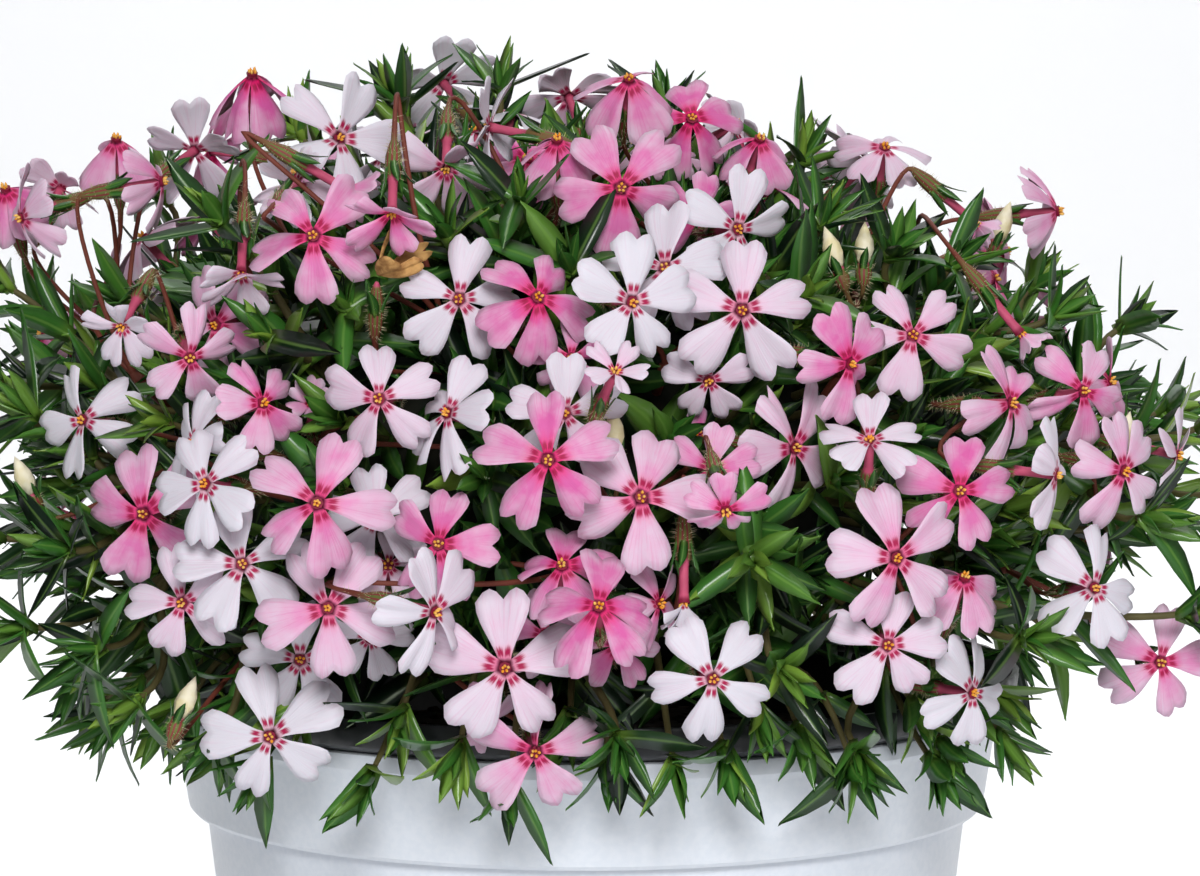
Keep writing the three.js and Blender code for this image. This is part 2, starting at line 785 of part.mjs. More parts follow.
// Leafy shoots to the front, by stem: where each tip is met on the picture plane and its height
// over the leaf surface.
const frontStems = [
  [[-118, 30, 4], [-104, 38, 2], [-120, 12, 6]],
  [[-108, 10, 2], [-120, -20, 6], [-108, -20, 2]],
  [[-114, -38, 5], [-100, -42, 3], [-92, -52, 4]],
  [[-84, -64, 4], [-66, -70, 4], [-50, -68, 4]],
  [[-80, 38, 2], [-66, 20, 0], [-50, 26, 0]],
  [[-40, 66, 8], [-36, 40, 0], [-16, 47, 4]],
  [[-44, -6, 0], [-24, -8, 0], [-20, 14, 0]],
  [[0, 40, 0], [40, 28, 1], [44, 42, 4]],
  [[58, 36, 3], [70, 34, 3], [90, 24, 4]],
  [[46, 2, 0], [34, 12, 0], [30, -24, 0], [36, -46, 0]],
  [[104, 22, 8], [116, 6, 8], [108, -16, 3]],
  [[112, -26, 6], [84, -40, 2], [68, -60, 4], [51, -62, 5]],
  [[-36, -68, 4], [0, -60, 2], [8, -72, 4]],
];

// The far side is filled by rule: directions in degrees round the axis and up from level.
const backBunches = [[104, 36], [128, 0], [156, 32], [178, 2], [196, 44], [228, 22]];
const bunchOffsets = [[-10, -9], [11, -6], [-8, 11], [11, 13]];
const backStems = [[104, 6], [112, 60], [148, 4], [178, 30], [206, 6], [228, 56], [250, 14]];
const stemOffsets = [[0, 0], [-17, -6], [16, -9], [-2, 17]];
const depthShifts = [0, -2, 2, -4, 4, -6, 6, -8, 8, -10, 10, -12, 12, -14, 14, -17, 17];
const flowerFits = [
  [1, 0], [0.9, 0], [0.9, 0.3], [0.9, -0.3],
  [0.8, 0], [0.8, 0.5], [0.8, -0.5], [0.7, 0], [0.7, 0.6],
];
const stalkBows = [0.3, 0.2, 0.42, 0.12, 0.55, 0.8];
const footGap = 0.35;
let looseOwner = 1000;
const forkRadius = 1.9;

const random = seeded(4127);
const jitter = (span) => (random() - 0.5) * 2 * span;
const jitterPoint = (point, span) => {
  return new THREE.Vector3(jitter(span), jitter(span), jitter(span)).add(point);
};

// Point of the mound's surface in a direction given round the axis and up from level.
function onMound(turn, lift, raise) {
  const way = facingOf(turn, lift);
  const centre = new THREE.Vector3(0, 0, moundCentreZ);
  let reach = 20;
  while (moundLevel(centre.clone().addScaledVector(way, reach), raise) < 1) {
    reach += 0.5;
  }
  return { point: centre.addScaledVector(way, reach), way };
}

// Sets a flower at the first depth along its way where nothing else is met, smaller if need be.
function placeFlower(shell, point, way, facing, roll) {
  let best = null;
  looseOwner += 1;
  for (const [scale, lift] of flowerFits) {
    const turned = facing.clone().add(new THREE.Vector3(0, 0, lift)).normalize();
    for (const shift of depthShifts) {
      const eye = point.clone().addScaledVector(way, shift);
      const posed = poseShell(shell, scale, eye, turned, roll);
      const samples = samplesOf(closedShell(posed));
      const blocked = crowding(samples, 0, 0);
      if (!best || blocked < best.blocked) {
        best = { shell: posed, samples, blocked, facing: turned, root: posed.root };
      }
      if (blocked === 0) {
        claim(samples, looseOwner);
        return best;
      }
    }
  }
  claim(best.samples, looseOwner);
  return best;
}

function stalkPath(start, back, end, away, bow) {
  const span = start.distanceTo(end);
  return new THREE.CubicBezierCurve3(
    start,
    start.clone().addScaledVector(back, span * bow),
    end.clone().addScaledVector(away, span * bow),
    end,
  );
}

// Whether a path turns back on itself too tightly for a stalk of two lengths.
function folds(path, start) {
  const [from, middle, end] = [0, 0.5, 1].map((t) => path.getPointAt(t));
  const first = middle.clone().sub(from).normalize();
  const second = end.clone().sub(middle).normalize();
  const along = path.getTangentAt(0.5);
  return Math.min(start.dot(first), along.dot(first), along.dot(second)) < 0.25;
}

const placed = [];

// Whether a solid overlaps one that is placed already and belongs to another owner.
function overlapsPlaced(solid, owner) {
  const box = solid.boundingBox();
  const apart = (other) => [0, 1, 2].some((k) => box.min[k] > other.max[k] || box.max[k] < other.min[k]);
  return placed.some((each) => {
    return each.owner !== owner && !apart(each.box) && solid.intersect(each.solid).volume() > 0.001;
  });
}

function place(solid, owner) {
  placed.push({ solid, owner, box: solid.boundingBox() });
}

// Foot and fork under a bunch: the foot stands over the nearest point of the crown's core.
function rootUnder(point, height) {
  const near = nearestOnCore(point);
  const away = point.clone().sub(near).normalize();
  const foot = near.clone().addScaledVector(away, footGap);
  const fork = near.clone().addScaledVector(away, height);
  const knot = new THREE.OctahedronGeometry(forkRadius, 0);
  knot.translate(fork.x, fork.y, fork.z);
  return { fork, away, pieces: [rod(new THREE.LineCurve3(foot, fork), stemRadius, 1), knot] };
}

// The clearest of a few bends from a flower's root to the fork.
function findStalk(flower, root, owner) {
  const back = flower.facing.clone().negate();
  let best = null;
  for (const bow of stalkBows) {
    const path = stalkPath(flower.root, back, root.fork, root.away, bow);
    const steps = folds(path, back) ? 3 : 2;
    const blocked = crowding(samplesOf(rod(path, stalkRadius, 4)), owner, 0);
    const { points, faces } = withStalk(flower.shell, path, flower.facing, steps);
    const crossed = tangled(points, faces, faces.slice(flower.shell.faces.length));
    const cost = blocked + (crossed ? 3 : 0);
    if (!best || cost < best.cost) {
      best = { cost, pieces: crossed ? jointed(flower, path) : [geometryFrom(points, faces)] };
    }
    if (cost === 0) {
      break;
    }
  }
  return best;
}

// Flower and stalk as separate closed pieces, for a stalk that bends too tightly for one shell.
function jointed(flower, path) {
  const pieces = [closedShell(flower.shell)];
  for (let step = 0; step < 3; step += 1) {
    const from = path.getPointAt(step / 3);
    const to = path.getPointAt((step + 1) / 3);
    const past = to.clone().sub(from).setLength(stalkRadius / 2);
    pieces.push(rod(new THREE.LineCurve3(from.sub(past), to.add(past)), stalkRadius, 1));
  }
  return pieces;
}

function growSpray(name, flowers, owner, material) {
  const centre = new THREE.Vector3();
  flowers.forEach((flower) => centre.add(flower.root));
  centre.divideScalar(flowers.length);
  const starts = [centre, ...flowers.map((flower) => flower.root.clone())];
  starts.forEach((start) => {
    start.z = Math.max(start.z, potHeight + hangLevel * 1.6);
  });
  let best = null;
  for (let attempt = 0; attempt < 200 && !(best && best.cost === 0); attempt += 1) {
    const start = jitterPoint(starts[attempt % starts.length], attempt * 0.12);
    const root = rootUnder(start, 4 + random() * 6);
    let cost = 0;
    root.pieces.forEach((piece) => {
      cost += crowding(samplesOf(piece), owner, cushionOwner);
    });
    const found = flowers.map((flower) => findStalk(flower, root, owner));
    found.forEach((stalk) => {
      cost += stalk.cost;
    });
    if (!best || cost < best.cost) {
      const pieces = [...root.pieces, ...found.flatMap((stalk) => stalk.pieces)];
      const solid = join(pieces.map(toSolid));
      cost += overlapsPlaced(solid, owner) ? 500 : 0;
      if (!best || cost < best.cost) {
        best = { cost, pieces, solid };
      }
    }
  }
  best.pieces.forEach((piece) => claim(samplesOf(piece), owner));
  place(best.solid, owner);
  addNode(name, best.solid, material);
}

// Turns and shortens a leaf until it meets nothing and fits its own shoot, or leaves it out.
function growLeaf(base, facing, upper, length, owner, fits) {
  for (let attempt = 0; attempt < 10; attempt += 1) {
    const way = jitterPoint(facing, 0.1 * attempt).normalize();
    const corners = leafCorners(base, way, upper, length * (1 - 0.05 * attempt), 0.04 + random() * 0.14);
    const samples = samplesOf(leafGeometry(corners));
    if (crowding(samples, owner, 0) === 0 && fits(corners)) {
      claim(samples, owner);
      return corners;
    }
  }
  return null;
}

function growShoot(root, tip, nodes, owner) {
  const hangs = tip.z < potHeight + hangLevel;
  const source = new THREE.Vector3(0, 0, hangs ? potHeight + 60 : moundCentreZ - 30);
  const lift = tip.clone().sub(source).normalize();
  for (let attempt = 0; attempt < 60; attempt += 1) {
    const end = jitterPoint(tip, attempt * 0.25);
    const path = stalkPath(root.fork, root.away, end, lift.clone().negate(), hangs ? 0.45 : 0.3);
    const turn = random() * 2;
    const bare = shootGeometry(path, turn, nodes, () => null);
    const samples = samplesOf(geometryFrom(bare.points, bare.faces));
    const turnsBack = folds(path, root.away) || tangled(bare.points, bare.faces, bare.faces);
    if (!turnsBack && crowding(samples, owner, 0) === 0) {
      const { points, faces } = shootGeometry(path, turn, nodes, (base, out, along, fits) => {
        const facing = out.clone().multiplyScalar(0.9 + random() * 0.4).add(along).normalize();
        return growLeaf(base, facing, along, leafLength * (0.8 + random() * 0.35), owner, fits);
      });
      const shoot = toSolid(geometryFrom(points, faces));
      if (!overlapsPlaced(shoot, owner)) {
        claim(samples, owner);
        place(shoot, owner);
        return shoot;
      }
    }
  }
  return null;
}

function growStem(name, tips, nodes, owner, material) {
  const centre = new THREE.Vector3();
  tips.forEach((tip) => centre.add(tip));
  centre.divideScalar(tips.length);
  centre.z = Math.max(centre.z, potHeight + hangLevel * 1.6);
  let root = null;
  for (let attempt = 0; attempt < 60; attempt += 1) {
    root = rootUnder(jitterPoint(centre, attempt * 0.3), 5);
    const samples = root.pieces.flatMap(samplesOf);
    const clear = crowding(samples, owner, cushionOwner) === 0;
    if (clear && !root.pieces.some((piece) => overlapsPlaced(toSolid(piece), owner))) {
      break;
    }
  }
  root.pieces.forEach((piece) => {
    claim(samplesOf(piece), owner);
    place(toSolid(piece), owner);
  });
  const shoots = tips.map((tip) => growShoot(root, tip, nodes, owner)).filter((shoot) => shoot);
  addNode(name, join([...root.pieces.map(toSolid), ...shoots]), material);
}

const petalPaint = paint(0xf3c3da, 0.6);
const leafPaint = paint(0x4a7d31, 0.55);
let owner = cushionOwner;

// Gives a bunch's flowers one owner, so that its stalks may pass them.
function gather(flowers) {
  owner += 1;
  flowers.forEach((flower) => {
    claim(flower.samples, owner);
    place(toSolid(closedShell(flower.shell)), owner);
  });
  return { flowers, owner };
}

const bunches = sprays.map(({ blooms, buds = [] }) => {
  const flowers = blooms.map(([across, up, yaw, pitch, size, sweep, raise, roll]) => {
    const { point, way } = alongSight(across, up, raise);
    return placeFlower(bloomShell(size, sweep, random), point, way, facingOf(yaw, pitch), roll);
  });
  buds.forEach(([across, up, raise]) => {
    const { point, way } = alongSight(across, up, raise);
    const facing = new THREE.Vector3(jitter(0.4), jitter(0.4), 1).normalize();
    flowers.push(placeFlower(budShell(12, 3.8), point, way, facing, 0));
  });
  return gather(flowers);
});

backBunches.forEach(([turn, lift]) => {
  const flowers = bunchOffsets.map(([aside, above]) => {
    const yaw = turn + aside + jitter(4);
    const pitch = lift + above + jitter(4);
    const { point, way } = onMound(yaw, pitch, 6 + random() * 6);
    const shell = bloomShell(20 + random() * 5, 6 + random() * 14, random);
    const facing = facingOf(yaw + jitter(20), pitch * 0.6 + jitter(15));
    return placeFlower(shell, point, way, facing, random() * 72);
  });
  bunches.push(gather(flowers));
});

bunches.forEach(({ flowers, owner: id }, i) => {
  growSpray(`flower_spray_${String(i + 1).padStart(2, "0")}`, flowers, id, petalPaint.clone());
});

const tipOf = ([across, up, raise]) => alongSight(across, up, raise).point;
const stemTips = frontStems.map((stem) => stem.map(tipOf));
backStems.forEach(([turn, lift]) => {
  stemTips.push(stemOffsets.map(([aside, above]) => onMound(turn + aside, lift + above, 3).point));
});
stemTips.forEach((tips, i) => {
  owner += 1;
  growStem(`leafy_stem_${String(i + 1).padStart(2, "0")}`, tips, nodesPerShoot, owner, leafPaint.clone());
});

// The cushion: the core's faces are drawn out into leafy tufts wherever there is room.
const cushionPoints = [];
const cornerOf = (point) => {
  const known = cushionPoints.findIndex((other) => other.distanceToSquared(point) < 1e-8);
  return known < 0 ? cushionPoints.push(point) - 1 : known;
};
let cushionFaces = coreFaces
  .filter((face) => face.getArea() > 0.01)
  .map((face) => [face.a, face.b, face.c].map(cornerOf));
for (const corners of [...cushionFaces]) {
  const face = new THREE.Triangle(...corners.map((corner) => cushionPoints[corner]));
  const normal = face.getNormal(new THREE.Vector3());
  const middle = face.getMidpoint(new THREE.Vector3());
  const others = cushionFaces.filter((each) => each !== corners);
  const tuft = corners.map((corner, k) => [corner, corners[(k + 1) % 3], cushionPoints.length]);
  const attempts = middle.z > potHeight + linerRimHeight + 4 ? 14 : 0;
  for (let attempt = 0; attempt < attempts; attempt += 1) {
    const way = normal.clone().add(new THREE.Vector3(jitter(0.7), jitter(0.7), jitter(0.4))).normalize();
    const reach = middle.clone().addScaledVector(way, tuftLength * (1.1 - 0.06 * attempt));
    const sides = geometryFrom([face.a, face.b, face.c, reach], [[0, 1, 3], [1, 2, 3], [2, 0, 3]]);
    const samples = samplesOf(sides);
    const room = crowding(samples, cushionOwner, 0) === 0;
    if (room && !tangled([...cushionPoints, reach], others, tuft)) {
      claim(samples, cushionOwner);
      cushionPoints.push(reach);
      cushionFaces = [...others, ...tuft];
      break;
    }
  }
}
addNode("leaf_cushion", toSolid(geometryFrom(cushionPoints, cushionFaces)), leafPaint.clone());

export default part;
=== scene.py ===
import itertools
import random
from math import asin, atan2, cos, degrees, exp, hypot, pi, radians, sin, sqrt

import bmesh
import bpy
from mathutils import Matrix, Vector


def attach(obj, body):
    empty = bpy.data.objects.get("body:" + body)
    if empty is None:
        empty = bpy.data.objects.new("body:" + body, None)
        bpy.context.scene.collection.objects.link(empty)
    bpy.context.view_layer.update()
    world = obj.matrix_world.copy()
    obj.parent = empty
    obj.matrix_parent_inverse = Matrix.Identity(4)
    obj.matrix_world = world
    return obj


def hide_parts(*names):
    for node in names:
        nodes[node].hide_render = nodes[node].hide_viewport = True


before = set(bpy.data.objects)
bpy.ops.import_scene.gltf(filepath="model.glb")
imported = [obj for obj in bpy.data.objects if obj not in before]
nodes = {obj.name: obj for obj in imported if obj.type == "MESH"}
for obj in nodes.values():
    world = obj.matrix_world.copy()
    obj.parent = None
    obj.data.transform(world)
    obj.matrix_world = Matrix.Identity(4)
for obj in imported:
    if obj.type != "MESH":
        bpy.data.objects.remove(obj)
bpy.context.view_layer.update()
print("stage: frame loaded,", len(nodes), "nodes")

# Lengths below are in millimetres; finished meshes are scaled to metres.
up = Vector((0, 0, 1))
fullTurn = 2 * pi
goldenTurn = 2.39996
stemMark = 1000.0  # "along" of woody stems; stalks count millimetres from the eye
room = bpy.context.scene.collection
workshop = bpy.data.collections.new("workshop")
room.children.link(workshop)


def clamp(value, low, high):
    return max(low, min(high, value))


def smooth(low, high, value):
    t = clamp((value - low) / (high - low), 0, 1)
    return t * t * (3 - 2 * t)


def level(turn, radius=1.0, z=0.0):
    return Vector((radius * cos(turn), radius * sin(turn), z))


def ringOf(axis, count, shift=0.0):
    side = axis.orthogonal().normalized()
    over = axis.cross(side)
    turns = [fullTurn * k / count + shift for k in range(count)]
    return [side * cos(turn) + over * sin(turn) for turn in turns]


def newObject(name, data, home=workshop):
    made = bpy.data.objects.new(name, data)
    home.objects.link(made)
    return made


def meshFrom(name, points, faces, edges=()):
    mesh = bpy.data.meshes.new(name)
    mesh.from_pydata([tuple(point) for point in points], list(edges), faces)
    mesh.update()
    return mesh


def softMesh(name, points, faces, spots=()):
    mesh = meshFrom(name, points, faces)
    mesh.shade_smooth()
    if spots:
        layer = mesh.uv_layers.new(name="shape")
        for loop in mesh.loops:
            layer.data[loop.index].uv = spots[loop.vertex_index]
    return mesh


def meshOf(name, shape):
    mesh = bpy.data.meshes.new(name)
    shape.to_mesh(mesh)
    shape.free()
    return mesh


def outward(mesh):
    shape = bmesh.new()
    shape.from_mesh(mesh)
    bmesh.ops.recalc_face_normals(shape, faces=shape.faces)
    shape.to_mesh(mesh)
    shape.free()


def setValues(mesh, name, kind, values):
    layer = mesh.attributes.new(name, kind, "POINT")
    if kind == "FLOAT_VECTOR":
        layer.data.foreach_set("vector", [part for value in values for part in value])
    else:
        layer.data.foreach_set("value", values)


def addNode(tree, kind, links=None, **settings):
    node = tree.nodes.new(kind)
    for key, value in settings.items():
        setattr(node, key, value)
    for key, value in (links or {}).items():
        socket = node.inputs[key]
        if isinstance(value, bpy.types.NodeSocket):
            tree.links.new(value, socket)
        else:
            socket.default_value = value
    return node


def outputOf(tree, kind, links=None, output=0, **settings):
    return addNode(tree, kind, links, **settings).outputs[output]


def linear(color):
    if not isinstance(color, str):
        return color
    shares = [int(color[i:i + 2], 16) / 255 for i in (0, 2, 4)]
    return (*[s / 12.92 if s <= 0.04045 else ((s + 0.055) / 1.055) ** 2.4 for s in shares], 1)


class Skin:
    # one material in the making; colours are hex text or the outputs of nodes
    def __init__(self, name, roughness, specular):
        self.material = bpy.data.materials.new(name)
        self.material.use_nodes = True
        self.tree = self.material.node_tree
        self.inputs = self.tree.nodes["Principled BSDF"].inputs
        self.inputs["Roughness"].default_value = roughness
        self.inputs["Specular IOR Level"].default_value = specular

    def node(self, kind, links=None, output=0, **settings):
        return outputOf(self.tree, kind, links, output, **settings)

    def math(self, operation, *values, hold=False):
        links = dict(enumerate(values))
        return self.node("ShaderNodeMath", links, operation=operation, use_clamp=hold)

    def times(self, a, b, hold=False):
        return self.math("MULTIPLY", a, b, hold=hold)

    def line(self, value, slope, start):
        return self.math("MULTIPLY_ADD", value, slope, start)

    def ramp(self, value, low, high):
        return self.node("ShaderNodeMapRange", {0: value, 1: low, 2: high}, interpolation_type="SMOOTHSTEP")

    def fall(self, value, low, high):
        return self.math("SUBTRACT", 1.0, self.ramp(value, low, high))

    def mix(self, factor, first, second):
        links = {0: factor, 6: linear(first), 7: linear(second)}
        return self.node("ShaderNodeMix", links, 2, data_type="RGBA")

    def layers(self, color, *coats):
        for factor, tone in coats:
            color = self.mix(factor, color, tone)
        return color

    def attribute(self, name):
        return self.node("ShaderNodeAttribute", None, "Fac", attribute_name=name)

    def noise(self, scale, detail=3.0, place=None):
        place = place or self.node("ShaderNodeTexCoord", None, "Object")
        return self.node("ShaderNodeTexNoise", {"Vector": place, "Scale": scale, "Detail": detail})

    def alongAndAside(self):
        place = self.node("ShaderNodeUVMap", uv_map="shape")
        return addNode(self.tree, "ShaderNodeSeparateXYZ", {0: place}).outputs[:2]

    def done(self, color, height, strength, distance):
        bump = self.node("ShaderNodeBump", {"Height": height, "Strength": strength, "Distance": distance})
        self.tree.links.new(color, self.inputs["Base Color"])
        self.tree.links.new(bump, self.inputs["Normal"])
        return self.material


petalLook = {
    "white": "DCD8E2",
    "pale": "E8A5CC",
    "deep": "D65AA2",
    "wash": "E01A6C",
    "dash": "A60C48",
    "throat": "5E0A2C",
    "roughness": 0.55,
    "washReach": 0.3,
    "washBase": 0.2,
    "veins": 22.0,
    "markLane": 0.46,
    "softness": 0.12,
}


def makePetalMaterial():
    look = petalLook
    skin = Skin("petal", look["roughness"], 0.3)
    along, aside = skin.alongAndAside()
    tint = skin.attribute("tint")
    offset = skin.math("ABSOLUTE", skin.line(aside, 2.0, -1.0))
    # veins run along the petal and fan out with it
    veins = skin.noise(1.0, 2.0, skin.node("ShaderNodeCombineXYZ", {
        0: skin.times(along, 1.6), 1: skin.times(aside, look["veins"]), 2: skin.times(tint, 40.0),
    }))
    ragged = skin.line(veins, 0.24, -0.12)
    # pink is strongest down the middle and near the eye, and pales towards the edges
    pink = skin.mix(skin.ramp(tint, 0.3, 1.0), look["pale"], look["deep"])
    edge = skin.line(skin.times(offset, offset), -0.3, 1.0)
    strength = skin.times(skin.ramp(tint, 0.04, 0.85), skin.line(along, -0.75, 1.4))
    uneven = skin.times(skin.line(skin.noise(260.0), 1.3, 0.32), edge)
    # hot pink round the eye, further out on the pinker blooms
    washEnd = skin.line(tint, look["washReach"], look["washBase"])
    wash = skin.fall(skin.math("ADD", along, ragged), 0.06, washEnd)
    # a pair of crimson marks on each petal
    lane = skin.math("ABSOLUTE", skin.math("SUBTRACT", offset, look["markLane"]))
    reach = skin.math("ADD", along, skin.times(ragged, 0.5))
    marks = skin.times(skin.ramp(reach, 0.08, 0.13), skin.fall(reach, 0.17, 0.26))
    color = skin.layers(
        look["white"],
        (skin.times(strength, uneven, hold=True), pink),
        (skin.times(skin.ramp(veins, 0.5, 0.68), skin.line(tint, 0.3, 0.06)), look["deep"]),
        (skin.times(wash, skin.line(tint, 0.75, 0.3), hold=True), look["wash"]),
        (skin.times(skin.fall(lane, 0.26, 0.46), marks), look["dash"]),
        (skin.fall(along, 0.02, 0.09), look["throat"]),
    )
    skin.inputs["Subsurface Weight"].default_value = look["softness"]
    skin.inputs["Subsurface Radius"].default_value = (0.002, 0.001, 0.001)
    return skin.done(color, veins, 0.3, 0.0003)


leafLook = {
    "dark": "0D2012",
    "green": "407A2C",
    "fresh": "8DB043",
    "midrib": "86AE55",
    "roughness": 0.3,
}


def makeLeafMaterial():
    look = leafLook
    skin = Skin("leaf", look["roughness"], 0.5)
    along, aside = skin.alongAndAside()
    tint, mottled = skin.attribute("tint"), skin.noise(90.0)
    middle = skin.math("ABSOLUTE", skin.line(aside, 2.0, -1.0))
    color = skin.layers(
        look["dark"],
        (skin.ramp(tint, 0.0, 0.55), look["green"]),
        (skin.ramp(tint, 0.5, 1.0), look["fresh"]),
        (skin.times(mottled, 0.35), look["dark"]),
        (skin.times(skin.fall(middle, 0.04, 0.2), 0.3), look["midrib"]),
        (skin.times(skin.fall(along, 0.0, 0.3), 0.35), look["fresh"]),
    )
    return skin.done(color, mottled, 0.3, 0.0004)


stalkLook = {
    "eye": "8C0E3B",
    "tube": "D4587C",
    "calyx": "6E7A3A",
    "stripe": "8F3B3C",
    "stalk": "7A3B2E",
    "stem": "5F5A34",
    "shade": "3A2318",
    "stripes": 10,
    "roughness": 0.6,
}


def makeStalkMaterial():
    look = stalkLook
    skin = Skin("stalk", look["roughness"], 0.3)
    along = skin.attribute("along")
    waves = skin.math("SINE", skin.times(skin.attribute("around"), fullTurn * look["stripes"]))
    color = skin.layers(
        look["eye"],
        (skin.ramp(along, 0.3, 1.4), look["tube"]),
        (skin.ramp(along, 7.4, 8.0), skin.mix(skin.ramp(waves, -0.1, 0.5), look["calyx"], look["stripe"])),
        (skin.ramp(along, 15.0, 19.0), look["stalk"]),
        (skin.ramp(along, stemMark - 100, stemMark - 99), look["stem"]),
        (skin.times(skin.noise(300.0), 0.4), look["shade"]),
    )
    return skin.done(color, skin.noise(900.0), 0.3, 0.0003)


def makePlainMaterial(name, first, second, roughness, scale, strength=0.3):
    skin = Skin(name, roughness, 0.4)
    spots = skin.noise(scale)
    return skin.done(skin.mix(skin.ramp(spots, 0.35, 0.65), first, second), spots, strength, 0.0004)


petalMaterial = makePetalMaterial()
leafMaterial = makeLeafMaterial()
stalkMaterial = makeStalkMaterial()
antherMaterial = makePlainMaterial("anther", "F09A1E", "F6C76A", 0.6, 900.0)
budMaterial = makePlainMaterial("bud", "F3EBD0", "E6D9A8", 0.5, 300.0)
dryMaterial = makePlainMaterial("dry petal", "C79A5E", "8E6234", 0.8, 420.0, 0.6)
hairMaterial = makePlainMaterial("hair", "CFC7A6", "B9AE86", 0.7, 500.0)
# the inner mass stands for the stems deep in the mound; its near-black colour is painted shade
coreShadeMaterial = makePlainMaterial("inner growth in painted shade", "0C140A", "1C1A0E", 0.9, 120.0, 0.8)
soilMaterial = makePlainMaterial("potting mix", "1E140D", "3B2A1C", 0.95, 160.0, 0.9)
whiteMaterial = makePlainMaterial("white plastic", "E3E8F0", "DEE4ED", 0.34, 700.0, 0.05)
blackMaterial = makePlainMaterial("black plastic", "101214", "17191C", 0.32, 500.0, 0.12)
print("stage: materials made")


def newTree(name, **sockets):
    tree = bpy.data.node_groups.new(name, "GeometryNodeTree")
    for label, kind in {"Geometry": "Geometry", **sockets}.items():
        tree.interface.new_socket(label, in_out="INPUT", socket_type=f"NodeSocket{kind}")
    tree.interface.new_socket("Geometry", in_out="OUTPUT", socket_type="NodeSocketGeometry")
    return tree, tree.nodes.new("NodeGroupInput").outputs


def closeTree(tree, inputs, last):
    solid = outputOf(tree, "GeometryNodeRealizeInstances", {0: last})
    painted = outputOf(tree, "GeometryNodeSetMaterial", {"Geometry": solid, "Material": inputs["Material"]})
    addNode(tree, "NodeGroupOutput", {0: painted})
    return tree


def named(tree, name, kind):
    return outputOf(tree, "GeometryNodeInputNamedAttribute", {"Name": name}, data_type=kind)


def makeScatterTree():
    tree, inputs = newTree("set out shapes", Shapes="Collection", Material="Material")
    shapes = outputOf(tree, "GeometryNodeCollectionInfo", {
        "Collection": inputs["Shapes"], "Separate Children": True, "Reset Children": True,
    })
    return closeTree(tree, inputs, outputOf(tree, "GeometryNodeInstanceOnPoints", {
        "Points": inputs["Geometry"], "Instance": shapes,
        "Pick Instance": True, "Instance Index": named(tree, "pick", "INT"),
        "Rotation": outputOf(tree, "FunctionNodeEulerToRotation", {0: named(tree, "turn", "FLOAT_VECTOR")}),
        "Scale": named(tree, "size", "FLOAT_VECTOR"),
    }))


def makeStalkTree():
    tree, inputs = newTree("draw stalks", Sides="Int", Material="Material")
    line = outputOf(tree, "GeometryNodeMeshToCurve", {"Mesh": inputs["Geometry"]})
    ring = outputOf(tree, "GeometryNodeCurvePrimitiveCircle", {"Resolution": inputs["Sides"], "Radius": 1.0})
    marked = outputOf(tree, "GeometryNodeStoreNamedAttribute", {
        "Geometry": ring, "Name": "around", "Value": outputOf(tree, "GeometryNodeSplineParameter"),
    }, data_type="FLOAT", domain="POINT")
    return closeTree(tree, inputs, outputOf(tree, "GeometryNodeCurveToMesh", {
        "Curve": line, "Profile Curve": marked, "Scale": named(tree, "thick", "FLOAT"), "Fill Caps": True,
    }))


def makeHairTree():
    tree, inputs = newTree(
        "grow hairs", Hair="Object", Density="Float", Seed="Int",
        Low="Float", High="Float", Material="Material",
    )
    along = named(tree, "along", "FLOAT")
    above = outputOf(tree, "FunctionNodeCompare", {0: along, 1: inputs["Low"]}, operation="GREATER_THAN")
    below = outputOf(tree, "FunctionNodeCompare", {0: along, 1: inputs["High"]}, operation="LESS_THAN")
    spots = addNode(tree, "GeometryNodeDistributePointsOnFaces", {
        "Mesh": inputs["Geometry"], "Density": inputs["Density"], "Seed": inputs["Seed"],
        "Selection": outputOf(tree, "FunctionNodeBooleanMath", {0: above, 1: below}),
    }).outputs
    return closeTree(tree, inputs, outputOf(tree, "GeometryNodeInstanceOnPoints", {
        "Points": spots["Points"], "Rotation": spots["Rotation"],
        "Instance": outputOf(tree, "GeometryNodeObjectInfo", {"Object": inputs["Hair"]}, "Geometry"),
        "Scale": outputOf(tree, "FunctionNodeRandomValue", {2: 0.6, 3: 1.3, "Seed": inputs["Seed"]}, 1),
    }))


scatterTree = makeScatterTree()
stalkTree = makeStalkTree()
hairTree = makeHairTree()


def baked(source, tree, values):
    holder = newObject("source", source)
    modifier = holder.modifiers.new("grow", "NODES")
    modifier.node_group = tree
    for item in tree.interface.items_tree:
        if item.name in values:
            modifier[item.identifier] = values[item.name]
    graph = bpy.context.evaluated_depsgraph_get()
    shown = holder.evaluated_get(graph)
    mesh = bpy.data.meshes.new_from_object(shown, preserve_all_data_layers=True, depsgraph=graph)
    holder.modifiers.remove(modifier)
    bpy.data.objects.remove(holder)
    return mesh


petalShape = {
    "seed": 310,
    "variants": 10,
    "lengthwise": 6,
    "crosswise": 8,
    "halfWidth": 0.345,
    "thickness": 0.022,
    "notch": 0.145,
    "claw": 0.17,
}


